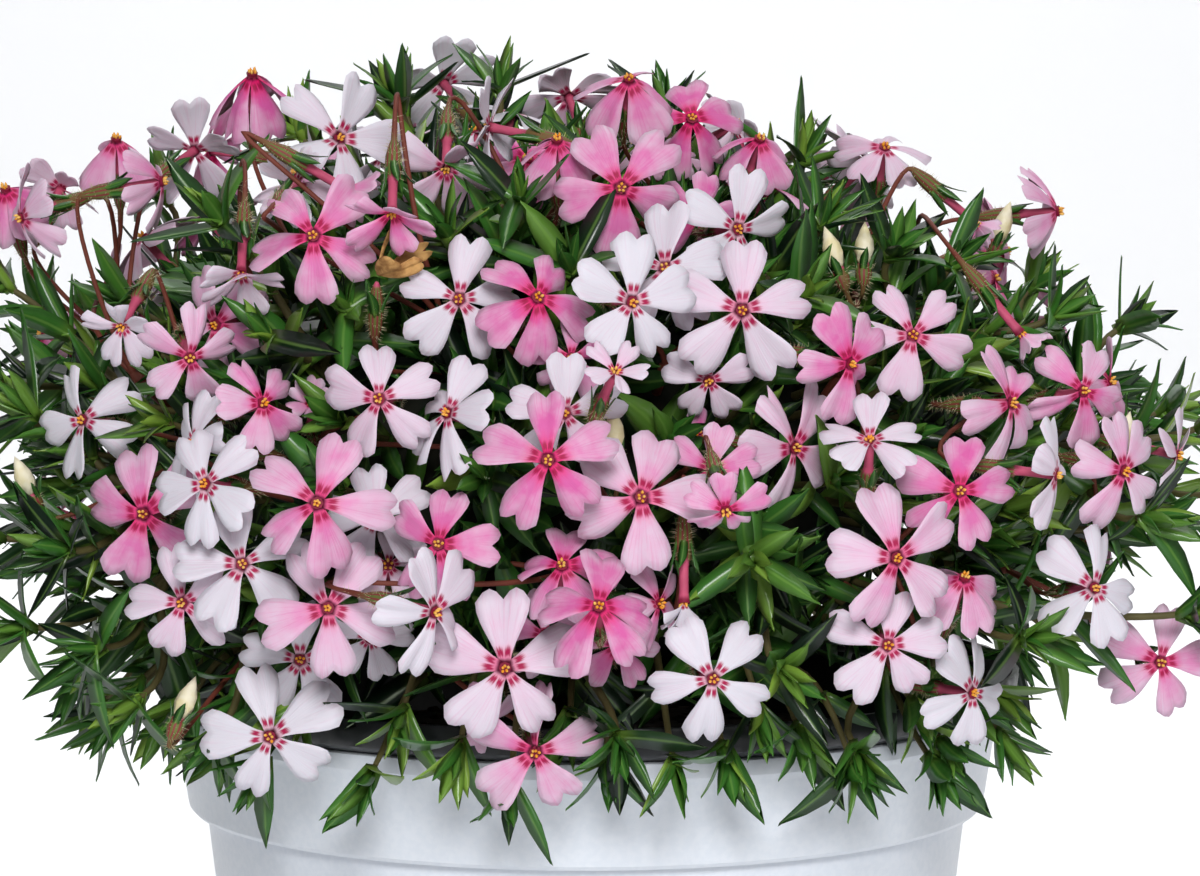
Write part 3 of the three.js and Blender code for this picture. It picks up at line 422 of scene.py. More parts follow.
def sheetShape(name, rows, columns, place, thickness):
    points = []
    spots = []
    for side in (1, -1):
        for i in range(rows + 1):
            for j in range(columns + 1):
                u, v = i / rows, 2 * j / columns - 1
                edge = 0.25 if j in (0, columns) or i == rows else 1
                points.append(Vector(place(u, v)) + Vector((0, 0, side * thickness / 2 * edge)))
                spots.append((u, (v + 1) / 2))
    count = (rows + 1) * (columns + 1)
    at = lambda i, j, side: i * (columns + 1) + j + side * count
    faces = []
    for i in range(rows):
        for j in range(columns):
            faces.append((at(i, j, 0), at(i + 1, j, 0), at(i + 1, j + 1, 0), at(i, j + 1, 0)))
            faces.append((at(i, j, 1), at(i, j + 1, 1), at(i + 1, j + 1, 1), at(i + 1, j, 1)))
    for i in range(rows):
        faces.append((at(i, 0, 0), at(i, 0, 1), at(i + 1, 0, 1), at(i + 1, 0, 0)))
        faces.append((at(i, columns, 0), at(i + 1, columns, 0), at(i + 1, columns, 1), at(i, columns, 1)))
    for j in range(columns):
        faces.append((at(0, j, 0), at(0, j + 1, 0), at(0, j + 1, 1), at(0, j, 1)))
        faces.append((at(rows, j, 0), at(rows, j, 1), at(rows, j + 1, 1), at(rows, j + 1, 0)))
    return softMesh(name, points, faces, spots)


def shapeCollection(name, meshes):
    group = bpy.data.collections.new(name)
    for i, mesh in enumerate(meshes):
        outward(mesh)
        newObject(f"{name} {i:02d}", mesh, group)
    return group


def variantsOf(name, shape, make):
    draws = [random.Random(shape["seed"] + i) for i in range(shape["variants"])]
    return shapeCollection(name, [make(draw) for draw in draws])


def petalMesh(draw):
    shape = petalShape
    cup = draw.uniform(-0.15, 0.12)
    bend = draw.uniform(-0.03, 0.16)
    wave = draw.uniform(0.01, 0.045)
    phase = draw.uniform(0, 6)
    twist = draw.uniform(-0.1, 0.1)
    notch = shape["notch"] * draw.uniform(0.7, 1.3)
    skew = draw.uniform(-0.06, 0.06)
    half = shape["halfWidth"] * draw.uniform(0.76, 1.12)

    def place(u, v):
        end = 1 - notch * max(0, 1 - abs(v) / 0.42) ** 1.2 - 0.19 * abs(v) ** 4
        width = half * (shape["claw"] + (1 - shape["claw"]) * smooth(-0.1, 1.0, u))
        z = 0.035 * sin(pi * u) + cup * v * v * u - bend * u * u + twist * v * u
        z += wave * sin(3.2 * v + phase) * u * u - 0.02 * u * exp(-((v / 0.3) ** 2))
        return 0.05 + 0.95 * end * u, width * v + skew * u * u, z

    return sheetShape("petal", shape["lengthwise"], shape["crosswise"], place, shape["thickness"])


leafShape = {
    "seed": 520,
    "variants": 6,
    "stations": 6,
    "halfWidth": 0.118,
    "keel": 0.035,
}


def leafMesh(draw):
    shape = leafShape
    bend = draw.uniform(-0.08, 0.26)
    swing = draw.uniform(-0.12, 0.12)
    wide = shape["halfWidth"] * draw.uniform(0.85, 1.15)
    steps = shape["stations"] - 1
    points, spots, faces = [], [], []
    for i in range(steps + 1):
        t = i / steps
        width = wide * (0.4 + 0.6 * sin(pi * clamp(t * 0.9 + 0.08, 0, 1)) ** 0.6)
        width *= 1 - smooth(0.66, 1.04, t) * 0.8
        x, y, z = 0.96 * t, swing * t * t, -bend * t * t
        under = z - shape["keel"] * (1 - 0.7 * t)
        points += [(x, y + width, z + 0.012), (x, y, z - 0.002), (x, y - width, z + 0.012), (x, y, under)]
        spots += [(t, 1), (t, 0.5), (t, 0), (t, 0.5)]
    top, first, last = steps * 4, len(points), len(points) + 1
    points += [(-0.01, 0, 0), (1.0, swing, -bend)]
    spots += [(0, 0.5), (1, 0.5)]
    for a in range(top):
        b = a + 1 if a % 4 < 3 else a - 3
        faces.append((a, b, b + 4, a + 4))
    for k in range(4):
        faces.append((k, first, (k + 1) % 4))
        faces.append((top + k, top + (k + 1) % 4, last))
    return softMesh("leaf", points, faces, spots)


def roundShape(name, length, width, pinch):
    points = [(0, 0, 0)]
    faces = []
    rings, sides = 4, 7
    for i in range(rings):
        t = (i + 1) / (rings + 1)
        r = width / 2 * sin(pi * t ** pinch)
        for k in range(sides):
            a = 2 * pi * k / sides + 0.35 * i
            points.append((length * t, r * cos(a), r * sin(a)))
    points.append((length, 0, 0))
    for k in range(sides):
        n = (k + 1) % sides
        faces.append((0, 1 + n, 1 + k))
        for i in range(rings - 1):
            a = 1 + i * sides
            faces.append((a + k, a + n, a + n + sides, a + k + sides))
        a = 1 + (rings - 1) * sides
        faces.append((a + k, a + n, len(points) - 1))
    return softMesh(name, points, faces)


petals = variantsOf("petal", petalShape, petalMesh)
leaves = variantsOf("leaf", leafShape, leafMesh)
anthers = shapeCollection("anther", [roundShape("anther", 1.0, 0.55, 1.0)])
buds = shapeCollection("bud", [roundShape("bud", 1.0, 0.36, 0.8)])
hairCorners = [(0.05, 0, 0), (-0.025, 0.043, 0), (-0.025, -0.043, 0), (0.25, 0, 1.05)]
hairMesh = meshFrom("hair", hairCorners, [(0, 2, 1), (0, 1, 3), (1, 2, 3), (2, 0, 3)])
outward(hairMesh)
hairObject = bpy.data.objects.new("hair", hairMesh)
print("stage: shapes made")


sight = {
    "eye": Vector((2.8, -1000, 306.7)),
    "tilt": radians(5.5),
}
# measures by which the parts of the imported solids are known
bloomSpokes = 14
shortestBlade = 4.5
eyeGap = 3
petalReach = 0.86
eyeLift = 0.8
rootDepth = 16.5
budDepth = 12
forkReach = 1.9
stalkRadius = 0.75
stalkSide = 1.732
leafWidth = 3.6
leafShare = 0.818
budLength = 7.2
stemTip = 9
stemFrom = 2.5
stemTo = 10.6


def corners(node):
    shape = bmesh.new()
    shape.from_mesh(node.data)
    bmesh.ops.remove_doubles(shape, verts=shape.verts, dist=2e-5)
    shape.verts.ensure_lookup_table()
    points = [vertex.co * 1000 for vertex in shape.verts]
    near = [[edge.other_vert(vertex).index for edge in vertex.link_edges] for vertex in shape.verts]
    shape.free()
    return points, near


def readBlades(centre, ring, far):
    facing = (centre - sum(ring, Vector()) / 5).normalized()
    eye = centre + facing * eyeLift
    side = facing.orthogonal().normalized()
    over = facing.cross(side)
    angleOf = lambda p: atan2((p - eye).dot(over), (p - eye).dot(side))
    blades = []
    for start in sorted(angleOf(p) for p in ring):
        nominal = start + pi / 5
        own = [((angleOf(p) - nominal + pi) % fullTurn - pi, p) for p in far]
        own = sorted((pair for pair in own if abs(pair[0]) < pi / 5), key=lambda pair: pair[0])
        if len(own) >= 3:
            notch = min(own[1:-1], key=lambda pair: abs(pair[0]))[1]
            blades.append((nominal, notch - eye, own[-1][1] - own[0][1]))
        else:
            blades.append((nominal, None, None))
    known = [reach for _, reach, _ in blades if reach is not None]
    if len(known) < 2:
        return eye, facing, None
    # a blade that can't be read takes the mean droop and length of the others
    drop = sum(asin(clamp(-reach.normalized().dot(facing), -1, 1)) for reach in known) / len(known)
    length = sum(reach.length for reach in known) / len(known)
    full = []
    for nominal, reach, across in blades:
        if reach is None:
            flat = side * cos(nominal) + over * sin(nominal)
            reach = (flat * cos(drop) - facing * sin(drop)) * length
            across = facing.cross(flat) * length
        full.append((reach.normalized(), across.normalized(), reach.length / petalReach))
    return eye, facing, full


def findBlooms(points, near):
    found = []
    for centre, around in zip(points, near):
        if len(around) < bloomSpokes:
            continue
        # the five points of the eye's ring come first, and the petals' ends after them
        outer = sorted(around, key=lambda k: (points[k] - centre).length)
        ring = [points[k] for k in outer[:5]]
        far = [points[k] for k in around if k not in outer[:5]]
        found.append((len(around), *readBlades(centre, ring, far)))
    found.sort(key=lambda bloom: -bloom[0])
    kept = []
    for _, eye, facing, blades in found:
        # two fused shells can leave one bloom with two centres
        apart = all((eye - other).length > eyeGap for other, _, _ in kept)
        if blades and blades[0][2] > shortestBlade and apart:
            kept.append((eye, facing, blades))
    return kept


def tipsOf(points, near):
    return [(tip, [points[k] for k in around]) for tip, around in zip(points, near) if len(around) == 3]


def findBuds(points, near):
    found = []
    for tip, ring in tipsOf(points, near):
        sides = [(ring[k] - ring[(k + 1) % 3]).length for k in range(3)]
        way = tip - sum(ring, Vector()) / 3
        if max(sides) - min(sides) < 0.1 and 2.1 < sides[0] < 3.5 and abs(way.length - budLength) < 0.2:
            found.append((tip, way.normalized()))
    return found


def findFork(points):
    # the ball where the stalks meet: the middle that the most points lie round
    best = (0, None)
    for axis in range(3):
        rows = {}
        for p in points:
            rows.setdefault((round(p[(axis + 1) % 3], 1), round(p[(axis + 2) % 3], 1)), []).append(p)
        for a, b in itertools.chain(*(itertools.permutations(group, 2) for group in rows.values())):
            if abs(b[axis] - a[axis] - 2 * forkReach) > 0.03 or (b - a).length > 2 * forkReach + 0.03:
                continue
            middle = (a + b) / 2
            votes = sum(abs((p - middle).length - forkReach) < 0.04 for p in points)
            if votes > best[0]:
                best = (votes, middle)
    return best[1]


def findAway(points, fork):
    # the end of the stem below the fork, and the way from it to the fork
    close = [p for p in points if stemFrom < (p - fork).length < stemTo]
    fits = lambda a, b: abs((a - b).length - stalkSide) < 0.03
    best = (0, None, None)
    for i, a in enumerate(close):
        for j in range(i + 1, len(close)):
            b = close[j]
            if not fits(a, b):
                continue
            for c in close[j + 1:]:
                if fits(a, c) and fits(b, c):
                    middle = (a + b + c) / 3
                    way = (fork - middle).normalized()
                    lean = abs((b - a).cross(c - a).normalized().dot(way))
                    if lean > best[0]:
                        best = (lean, way, middle)
    return best[1:]


def bezier(start, back, end, away, bow, count):
    span = (end - start).length
    a, b = start + back * span * bow, end + away * span * bow
    line = []
    for i in range(count + 1):
        t = i / count
        s = 1 - t
        line.append(start * s ** 3 + a * 3 * s * s * t + b * 3 * s * t * t + end * t ** 3)
    return line


def stalkLine(points, start, back, fork, away):
    # of six bends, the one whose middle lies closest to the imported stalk
    def error(line):
        lengths = [0.0]
        for a, b in zip(line, line[1:]):
            lengths.append(lengths[-1] + (b - a).length)
        middle = min(zip(lengths, line), key=lambda pair: abs(pair[0] - lengths[-1] / 2))[1]
        return sum(sorted(abs((p - middle).length - stalkRadius) for p in points)[:3])

    bows = (0.3, 0.2, 0.42, 0.12, 0.55, 0.8)
    return min((bezier(start, back, fork, away, bow, 24) for bow in bows), key=error)[::2]


def findLeaves(points, near):
    found, ends = [], []
    for tip, ring in tipsOf(points, near):
        pairs = sorted(((ring[a] - ring[b]).length, a, b) for a, b in ((0, 1), (1, 2), (0, 2)))
        width, left, right = pairs[-1]
        if abs(width - leafWidth) < 0.1 and pairs[1][0] < 3.0:
            middle = (ring[left] + ring[right]) / 2
            keel = ring[3 - left - right]
            found.append((middle - (tip - middle) * leafShare, tip, (middle - keel).normalized()))
        elif abs(width - stalkSide) < 0.08 and pairs[0][0] > 1.6:
            reach = tip - sum(ring, Vector()) / 3
            if abs(reach.length - stemTip) < 2:
                ends.append((tip - reach, reach.normalized()))
    return found, ends


def leafTurn(way, upper):
    x = way.normalized()
    z = (upper - x * upper.dot(x))
    z = z.normalized() if z.length > 1e-4 else x.orthogonal().normalized()
    return Matrix((x, z.cross(x), z)).transposed().to_euler()


class Layout:
    def __init__(self, group, material):
        self.group, self.material, self.rows = group, material, []

    def add(self, point, way, upper, size, pick, tint):
        self.rows.append((point, leafTurn(way, upper), size, pick, tint))

    def mesh(self):
        if not self.rows:
            return None
        points, turns, sizes, picks, tints = zip(*self.rows)
        source = meshFrom("layout", points, [])
        setValues(source, "turn", "FLOAT_VECTOR", turns)
        setValues(source, "size", "FLOAT_VECTOR", sizes)
        setValues(source, "pick", "INT", picks)
        setValues(source, "tint", "FLOAT", tints)
        made = baked(source, scatterTree, {"Shapes": self.group, "Material": self.material})
        for extra in ("turn", "size", "pick"):
            made.attributes.remove(made.attributes[extra])
        return made


class Lines:
    def __init__(self, sides):
        self.sides, self.points, self.edges, self.thick, self.along = sides, [], [], [], []

    def add(self, line, thick, along):
        first = len(self.points)
        self.points += line
        self.thick += thick
        self.along += along
        self.edges += [(first + i, first + i + 1) for i in range(len(line) - 1)]

    def stem(self, line, thick, taper):
        count = len(line)
        self.add(line, [thick - taper * i for i in range(count)], [stemMark] * count)

    def mesh(self):
        source = meshFrom("lines", self.points, [], self.edges)
        setValues(source, "thick", "FLOAT", self.thick)
        setValues(source, "along", "FLOAT", self.along)
        made = baked(source, stalkTree, {"Sides": self.sides, "Material": stalkMaterial})
        made.shade_smooth()
        return made


def joined(name, meshes):
    holders = [newObject(name, mesh) for mesh in meshes if mesh]
    whole = holders[0]
    bpy.context.view_layer.update()
    if len(holders) > 1:
        with bpy.context.temp_override(
            active_object=whole, object=whole, selected_objects=holders, selected_editable_objects=holders,
        ):
            bpy.ops.object.join()
    whole.data.transform(Matrix.Scale(0.001, 4))
    outward(whole.data)
    workshop.objects.unlink(whole)
    room.objects.link(whole)
    return whole


def finished(piece, slotName, *replaced):
    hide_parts(*replaced)
    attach(piece, "root")
    return piece


sprayLook = {
    "seed": 700,
    "anthersPerBloom": 5,
    "hairDensity": 1.5,
    "hairStart": 7.6,
    "hairEnd": 20.0,
    "stalkSides": 8,
    "petalSpread": 1.08,
    "petalRoll": 0.25,
}

# tints of each spray's blooms from left to right, 0 white to 1 deep pink
sprayTints = [
    (0.8, 0.45, 0.45), (0.7, 0.6, 0.2), (0.9, 0.3, 0.15), (0.75, 0.6, 0.7), (0.55, 0.6, 0.35),
    (0.4, 0.15, 0.75), (0.7, 0.9, 0.4, 0.8), (0.75, 0.15, 0.9, 0.1), (0.4, 0.6), (0.6, 0.6),
    (0.1, 0.2), (0.1, 0.12, 0.65), (0.6, 0.35, 0.2), (0.2, 0.85, 0.7), (0.1, 0.3, 0.3),
    (0.75, 0.25, 0.45), (0.6, 0.2, 0.65, 0.6, 0.5, 0.35), (0.8, 0.25, 0.4),
    (0.5, 0.8, 0.7, 0.7, 0.45), (0.7, 0.35, 0.1), (0.6, 0.5, 0.15, 0.2, 0.4), (0.75, 0.15),
    (0.75, 0.8, 0.6), (0.1, 0.15), (0.5, 0.8, 0.6), (0.35, 0.1), (0.12, 0.6), (0.08, 0.08),
    (0.35, 0.6, 0.75), (0.6, 0.6),
]
backTints = (0.1, 0.2, 0.35, 0.5, 0.65, 0.8)
orderTilt = radians(8)


def leftToRight(bloom):
    ahead = Vector((0, cos(sight["tilt"]), -sin(sight["tilt"])))
    above = Vector((0, -ahead.z, ahead.y))
    ray = bloom[0] - sight["eye"]
    return (ray.x * cos(orderTilt) - ray.dot(above) * sin(orderTilt)) / ray.dot(ahead)


def bloomTint(number, place, draw):
    if number < len(sprayTints) and place < len(sprayTints[number]):
        return sprayTints[number][place]
    return draw.choice(backTints)


# depth below the top and radius, down the middle of a bloom, an empty calyx and a bud
flowerSteps = {
    "bloom": (
        (-0.1, 1.12), (0.6, 1.0), (2, 0.85), (6, 0.85), (7.6, 0.95),
        (7.9, 1.35), (10, 1.6), (13, 1.5), (15.4, 1.0),
    ),
    "calyx": ((0, 0.35), (1.5, 1.0), (4, 1.5), (8, 1.45), (11, 0.95)),
    "bud": ((0, 0.6), (0.8, 1.5), (2.6, 1.6), (4.4, 1.1)),
}
# for each kind: depth and radius of the sepals' feet, upright share, least and most lean,
# size, tint and turn
calyxSteps = {
    "bloom": (11.5, 1.25, 3, 0.3, 0.9, (6.5, 7.5, 6.5), 0.35, 0.5),
    "calyx": (8, 1.2, 3, 0.2, 0.6, (7, 8, 7), 0.3, 0.0),
    "bud": (9.5, 1.3, 2.4, 0.2, 0.8, (4.5, 7, 5), 0.3, 0.0),
}
openBlooms = []
hairCounts = []


def anyLeaf(draw):
    return draw.randrange(leafShape["variants"])


class Flowers:
    def __init__(self, material=petalMaterial):
        self.stalks = Lines(sprayLook["stalkSides"])
        self.blades = Layout(petals, material)
        self.sepals = Layout(leaves, leafMaterial)
        self.dots = Layout(anthers, antherMaterial)
        self.spindles = Layout(buds, budMaterial)

    def addStalk(self, start, facing, rest, kind):
        steps = flowerSteps[kind]
        shift = 0.0 if kind == "bloom" else 7.0
        line = [start - facing * depth for depth, _ in steps] + rest
        thick = [radius for _, radius in steps]
        along = [depth + shift for depth, _ in steps]
        for i, (a, b) in enumerate(zip(line[len(steps) - 1:], rest)):
            thick.append(0.62 if i == 0 else 0.42 + 0.16 * i / len(rest))
            along.append(along[-1] + (b - a).length)
        self.stalks.add(line, thick, along)

    def addSepals(self, top, facing, draw, kind):
        depth, radius, rise, least, most, size, tint, shift = calyxSteps[kind]
        for flat in ringOf(facing, 5, shift):
            way = (facing * rise + flat * draw.uniform(least, most)).normalized()
            self.sepals.add(top - facing * depth + flat * radius, way, -flat, size, anyLeaf(draw), tint)

    def addBloom(self, eye, facing, blades, tint, draw):
        look = sprayLook
        openBlooms.append((eye, facing))
        for way, across, length in blades:
            size = length * look["petalSpread"] * draw.uniform(0.94, 1.06)
            upper = Matrix.Rotation(draw.gauss(0, look["petalRoll"]), 3, way) @ way.cross(across)
            pick = draw.randrange(petalShape["variants"])
            own = clamp(tint + draw.uniform(-0.08, 0.08), 0.02, 1)
            self.blades.add(eye - facing * 0.15, way, upper, (size, size, size), pick, own)
        for flat in ringOf(facing, look["anthersPerBloom"], draw.uniform(-0.2, 0.2)):
            lean = (facing + flat * draw.uniform(0.1, 0.5)).normalized()
            spot = eye + flat * draw.uniform(0.2, 0.6) - facing * draw.uniform(0.0, 0.3)
            self.dots.add(spot, lean, flat, (1.25, 1.1, 1.1), 0, 0.5)
        self.addSepals(eye, facing, draw, "bloom")

    def meshes(self, hairSeed=None):
        stalks = self.stalks.mesh()
        made = [stalks, *(part.mesh() for part in (self.blades, self.sepals, self.dots, self.spindles))]
        if hairSeed:
            made.append(baked(stalks.copy(), hairTree, {
                "Hair": hairObject, "Density": sprayLook["hairDensity"], "Seed": hairSeed,
                "Low": sprayLook["hairStart"], "High": sprayLook["hairEnd"], "Material": hairMaterial,
            }))
            hairCounts.append(len(made[-1].polygons) // 4)
        return made


def makeSpray(name, number):
    draw = random.Random(sprayLook["seed"] + number)
    points, near = corners(nodes[name])
    blooms = sorted(findBlooms(points, near), key=leftToRight)
    budsHere = findBuds(points, near)
    fork = findFork(points)
    away, foot = findAway(points, fork)
    flowers = Flowers()
    for place, (eye, facing, blades) in enumerate(blooms):
        flowers.addBloom(eye, facing, blades, bloomTint(number, place, draw), draw)
        rest = stalkLine(points, eye - facing * rootDepth, -facing, fork, away)
        flowers.addStalk(eye, facing, rest, "bloom")
    for tip, facing in budsHere:
        flowers.spindles.add(tip - facing * 9, facing, facing.orthogonal(), (9.4, 11, 11), 0, 0.5)
        flowers.addSepals(tip, facing, draw, "bud")
        rest = stalkLine(points, tip - facing * budDepth, -facing, fork, away)
        flowers.addStalk(tip - facing * 7.4, facing, rest, "bud")
    flowers.stalks.add([fork + away * 1.2, fork, foot - away * 0.2], [0.6, 1.2, 1.0], [40, 42, 46])
    finished(joined(f"{name}-blooms", flowers.meshes(sprayLook["seed"] + number)), "petals", name)
    return len(blooms), len(budsHere)


def namesFrom(start):
    return sorted(name for name in nodes if name.startswith(start))


counts = [makeSpray(name, i) for i, name in enumerate(namesFrom("flower_spray"))]
blooming, budding = (sum(count) for count in zip(*counts))
print("stage: sprays made,", blooming, "blooms,", budding, "buds,", sum(hairCounts), "hairs")


stemLook = {
    "seed": 900,
    "tuftLeaves": 6,
    "tuftTurn": 2.4,
    "extraPairs": 4,
    "lowPairs": 2,
    "lowHeight": 188.0,
    "bowHeight": 183.0,
    "extraLength": 16.0,
    "stemSides": 7,
    "bareFrom": -28.0,
    "bareTo": 12.0,
    "bareHeight": 175.0,
    "clearance": 10.0,
}


def inBareSide(place):
    # the black rim stays in sight on the right
    return stemLook["bareFrom"] < degrees(atan2(place.y, place.x)) < stemLook["bareTo"]


def inTheWay(start, tip):
    # a leaf that would pierce an open bloom, or hang bare below the rim's clear stretch
    if inBareSide(tip) and tip.z < stemLook["bareHeight"]:
        return True
    for eye, facing in openBlooms:
        if (tip - eye).length > stemLook["clearance"] * 2.5:
            continue
        before, after = (start - eye).dot(facing), (tip - eye).dot(facing)
        if before * after < 0:
            crossing = start.lerp(tip, before / (before - after))
            if (crossing - eye).length < stemLook["clearance"]:
                return True
    return False


class Shoots:
    def __init__(self, draw, sides):
        self.draw, self.lines, self.leaves = draw, Lines(sides), Layout(leaves, leafMaterial)

    def addLeaf(self, start, way, upper, length, tint):
        size = (length, length * self.draw.uniform(0.9, 1.25), length)
        pick = anyLeaf(self.draw)
        if not inTheWay(start, start + way * length):
            self.leaves.add(start, way, upper, size, pick, tint)

    def grow(self, line, thick, taper, pairs, first, leafLength, freshness):
        draw, count = self.draw, len(line) - 1
        self.lines.stem(line, thick, taper)
        for pair in range(pairs):
            t = first + (0.97 - first) * pair / (pairs - 1)
            k = min(int(t * count), count - 1)
            point = line[k].lerp(line[k + 1], t * count - k)
            axis = (line[k + 1] - line[k]).normalized()
            for half in (0, 1):
                turn = pair * pi / 2 + half * pi + draw.uniform(-0.35, 0.35)
                lift = 0.5 + 0.9 * t + draw.uniform(-0.25, 0.35)
                way = (ringOf(axis, 1, turn)[0] + axis * lift + up * 0.12).normalized()
                length = leafLength * draw.uniform(0.7, 1.2)
                tint = clamp(draw.gauss(0.15 + freshness + 0.25 * t, 0.25), 0.0, 1)
                self.addLeaf(point, way, axis, length, tint)
        axis = (line[-1] - line[-2]).normalized()
        for k in range(stemLook["tuftLeaves"]):
            flat = ringOf(axis, 1, stemLook["tuftTurn"] * k + draw.uniform(-0.3, 0.3))[0]
            way = (axis + flat * (0.1 + 0.09 * k)).normalized()
            length = leafLength * draw.uniform(0.55, 0.8)
            tint = clamp(draw.gauss(0.5 + freshness, 0.17), 0, 1)
            self.addLeaf(line[-1], way, axis - flat * 0.4, length, tint)


def makeStem(name, seed):
    look = stemLook
    draw = random.Random(seed)
    points, near = corners(nodes[name])
    found, ends = findLeaves(points, near)
    fork = findFork(points)
    away, foot = findAway(points, fork)
    shoots = Shoots(draw, look["stemSides"])
    for base, tip, upper in found:
        length = (tip - base).length
        tint = clamp(draw.gauss(0.25, 0.23), 0.0, 1)
        shoots.leaves.add(base, tip - base, upper, (length, length * 1.05, length), anyLeaf(draw), tint)
    for middle, way in ends:
        bow = 0.45 if middle.z < look["bowHeight"] and way.z < 0.2 else 0.3
        pairs = look["lowPairs"] if middle.z < look["lowHeight"] else look["extraPairs"]
        line = bezier(fork, away, middle, -way, bow, 12)
        shoots.grow(line, 1.0, 0.35 / 12, pairs, 0.35, look["extraLength"], draw.uniform(-0.05, 0.3))
    shoots.lines.add([fork + away * 1.2, fork, foot - away * 0.2], [0.7, 1.3, 1.1], [stemMark] * 3)
    finished(joined(f"{name}-leaves", [shoots.lines.mesh(), shoots.leaves.mesh()]), "leaves", name)
    return len(found), len(ends)


counts = [makeStem(name, stemLook["seed"] + i) for i, name in enumerate(namesFrom("leafy_stem"))]
leafing, shooting = (sum(count) for count in zip(*counts))
print("stage: stems made,", leafing, "leaves read,", shooting, "shoots")


cushionLook = {
    "twigs": 380,
    "twigPairs": 4,
    "leafLength": 16.5,
    "innerStems": 70,
    "coreShare": 0.68,
    "rightTuck": 0.2,
    "shoulder": 0.1,
    "tuckIn": 0.14,
    "growth": 0.16,
    "crownHeight": 134.0,
    "coreFloor": 167.0,
    "twigFloor": 168.0,
    "rimFloor": 172.0,
    "rimEnd": 96.0,
    "bareEnd": 184.0,
    "stemSides": 6,
    "sectors": 4,
    "seed": 77,
}

backLook = {
    "tries": 260,
    "lowest": -0.12,
    "highest": 0.995,
    "front": 0.12,
    "crown": 0.84,
    "spacing": 19.0,
    "petal": 10.0,
    "seed": 91,
}

dryLook = {
    "place": Vector((-37.5, -93, 249)),
    "facing": Vector((0.05, -0.35, 0.9)),
    "trail": Vector((0.9, -0.2, 0.35)),
    "petals": 5,
    "length": 12.0,
    "seed": 95,
}

fringeLook = {
    "twigs": 66,
    "pairs": 3,
    "leafLength": 17.0,
    "startRadius": 70.0,
    "reachRadius": 93.0,
    "height": 173.0,
    "droop": 17.0,
    "seed": 83,
}

mound = {
    "centre": Vector((0, 0, 200)),
    "wide": 122.0,
    "deep": 110.0,
    "rise": 76.0,
    "drop": 47.0,
    "fall": 0.0035,
}


def moundReach(way):
    reach = 20.0
    while reach < 160:
        p = way * reach
        high = mound["rise"] * (1 - mound["fall"] * max(0, p.x)) if p.z > 0 else mound["drop"]
        power = 2.2 if p.z > 0 else 3.0
        flat = hypot(p.x / mound["wide"], p.y / mound["deep"])
        if flat ** power + (abs(p.z) / high) ** power >= 1:
            return reach
        reach += 1.0


def onMound(way, share):
    return mound["centre"] + way * moundReach(way) * share


def makeCore():
    look = cushionLook
    draw = random.Random(look["seed"] + 1)
    lines = Lines(look["stemSides"])
    for i in range(look["innerStems"]):
        turn = i * goldenTurn
        way = level(turn, 1, draw.uniform(0.0, 1.2)).normalized()
        start = level(turn, 6, look["crownHeight"])
        lines.stem(bezier(start, up, onMound(way, 0.7), -way, 0.4, 8), 1.5, 0.1)
    # the core mound is coloured near-black, painted shade for the depth of the cushion seen through its gaps
    core = bmesh.new()
    bmesh.ops.create_icosphere(core, subdivisions=4, radius=1.0)
    for vertex in core.verts:
        way = vertex.co.normalized()
        bump = 1 + 0.07 * sin(9 * way.x + 3 * way.z) * cos(8 * way.y + 5 * way.z)
        share = look["coreShare"] - look["rightTuck"] * max(0, way.x) ** 2
        vertex.co = onMound(way, share * bump)
        vertex.co.z = max(vertex.co.z, look["coreFloor"])
    coreMesh = meshOf("core", core)
    coreMesh.materials.append(coreShadeMaterial)
    coreMesh.shade_smooth()
    finished(joined("crown-core", [lines.mesh(), coreMesh]), "leaves", "leaf_cushion")


def makeCushion():
    look = cushionLook
    draw = random.Random(look["seed"])
    sectors = [Shoots(draw, look["stemSides"]) for _ in range(look["sectors"])]
    for i in range(look["twigs"]):
        rise = -0.3 + 1.29 * (i + 0.5) / look["twigs"]
        turn = i * goldenTurn + draw.uniform(-0.15, 0.15)
        way = level(turn, sqrt(max(0, 1 - rise * rise)), rise).normalized()
        shoots = sectors[int(turn / fullTurn * len(sectors)) % len(sectors)]
        shrink = look["shoulder"] * smooth(0.1, 0.5, rise) + look["tuckIn"] * smooth(0.05, -0.25, rise)
        end, base = onMound(way, draw.uniform(0.8, 0.96) - shrink), onMound(way, 0.6)
        base.z = max(base.z, look["twigFloor"])
        if hypot(end.x, end.y) < look["rimEnd"]:
            end.z = max(end.z, look["rimFloor"])
        if inBareSide(end):
            end.z = max(end.z, look["bareEnd"])
        bend = (way + up * draw.uniform(0.1, 0.5)).normalized()
        line = bezier(base, way, end, -bend, 0.33, 8)
        fresh = clamp(draw.gauss(0.0, look["growth"]), -0.2, 0.4)
        shoots.grow(line, 0.9, 0.04, look["twigPairs"], 0.25, look["leafLength"], fresh)
    for i, shoots in enumerate(sectors):
        piece = joined(f"crown-leaves-{i + 1}", [shoots.leaves.mesh(), shoots.lines.mesh()])
        finished(piece, "leaves", "leaf_cushion")
    print("stage: cushion made,", sum(len(shoots.leaves.rows) for shoots in sectors), "leaves")


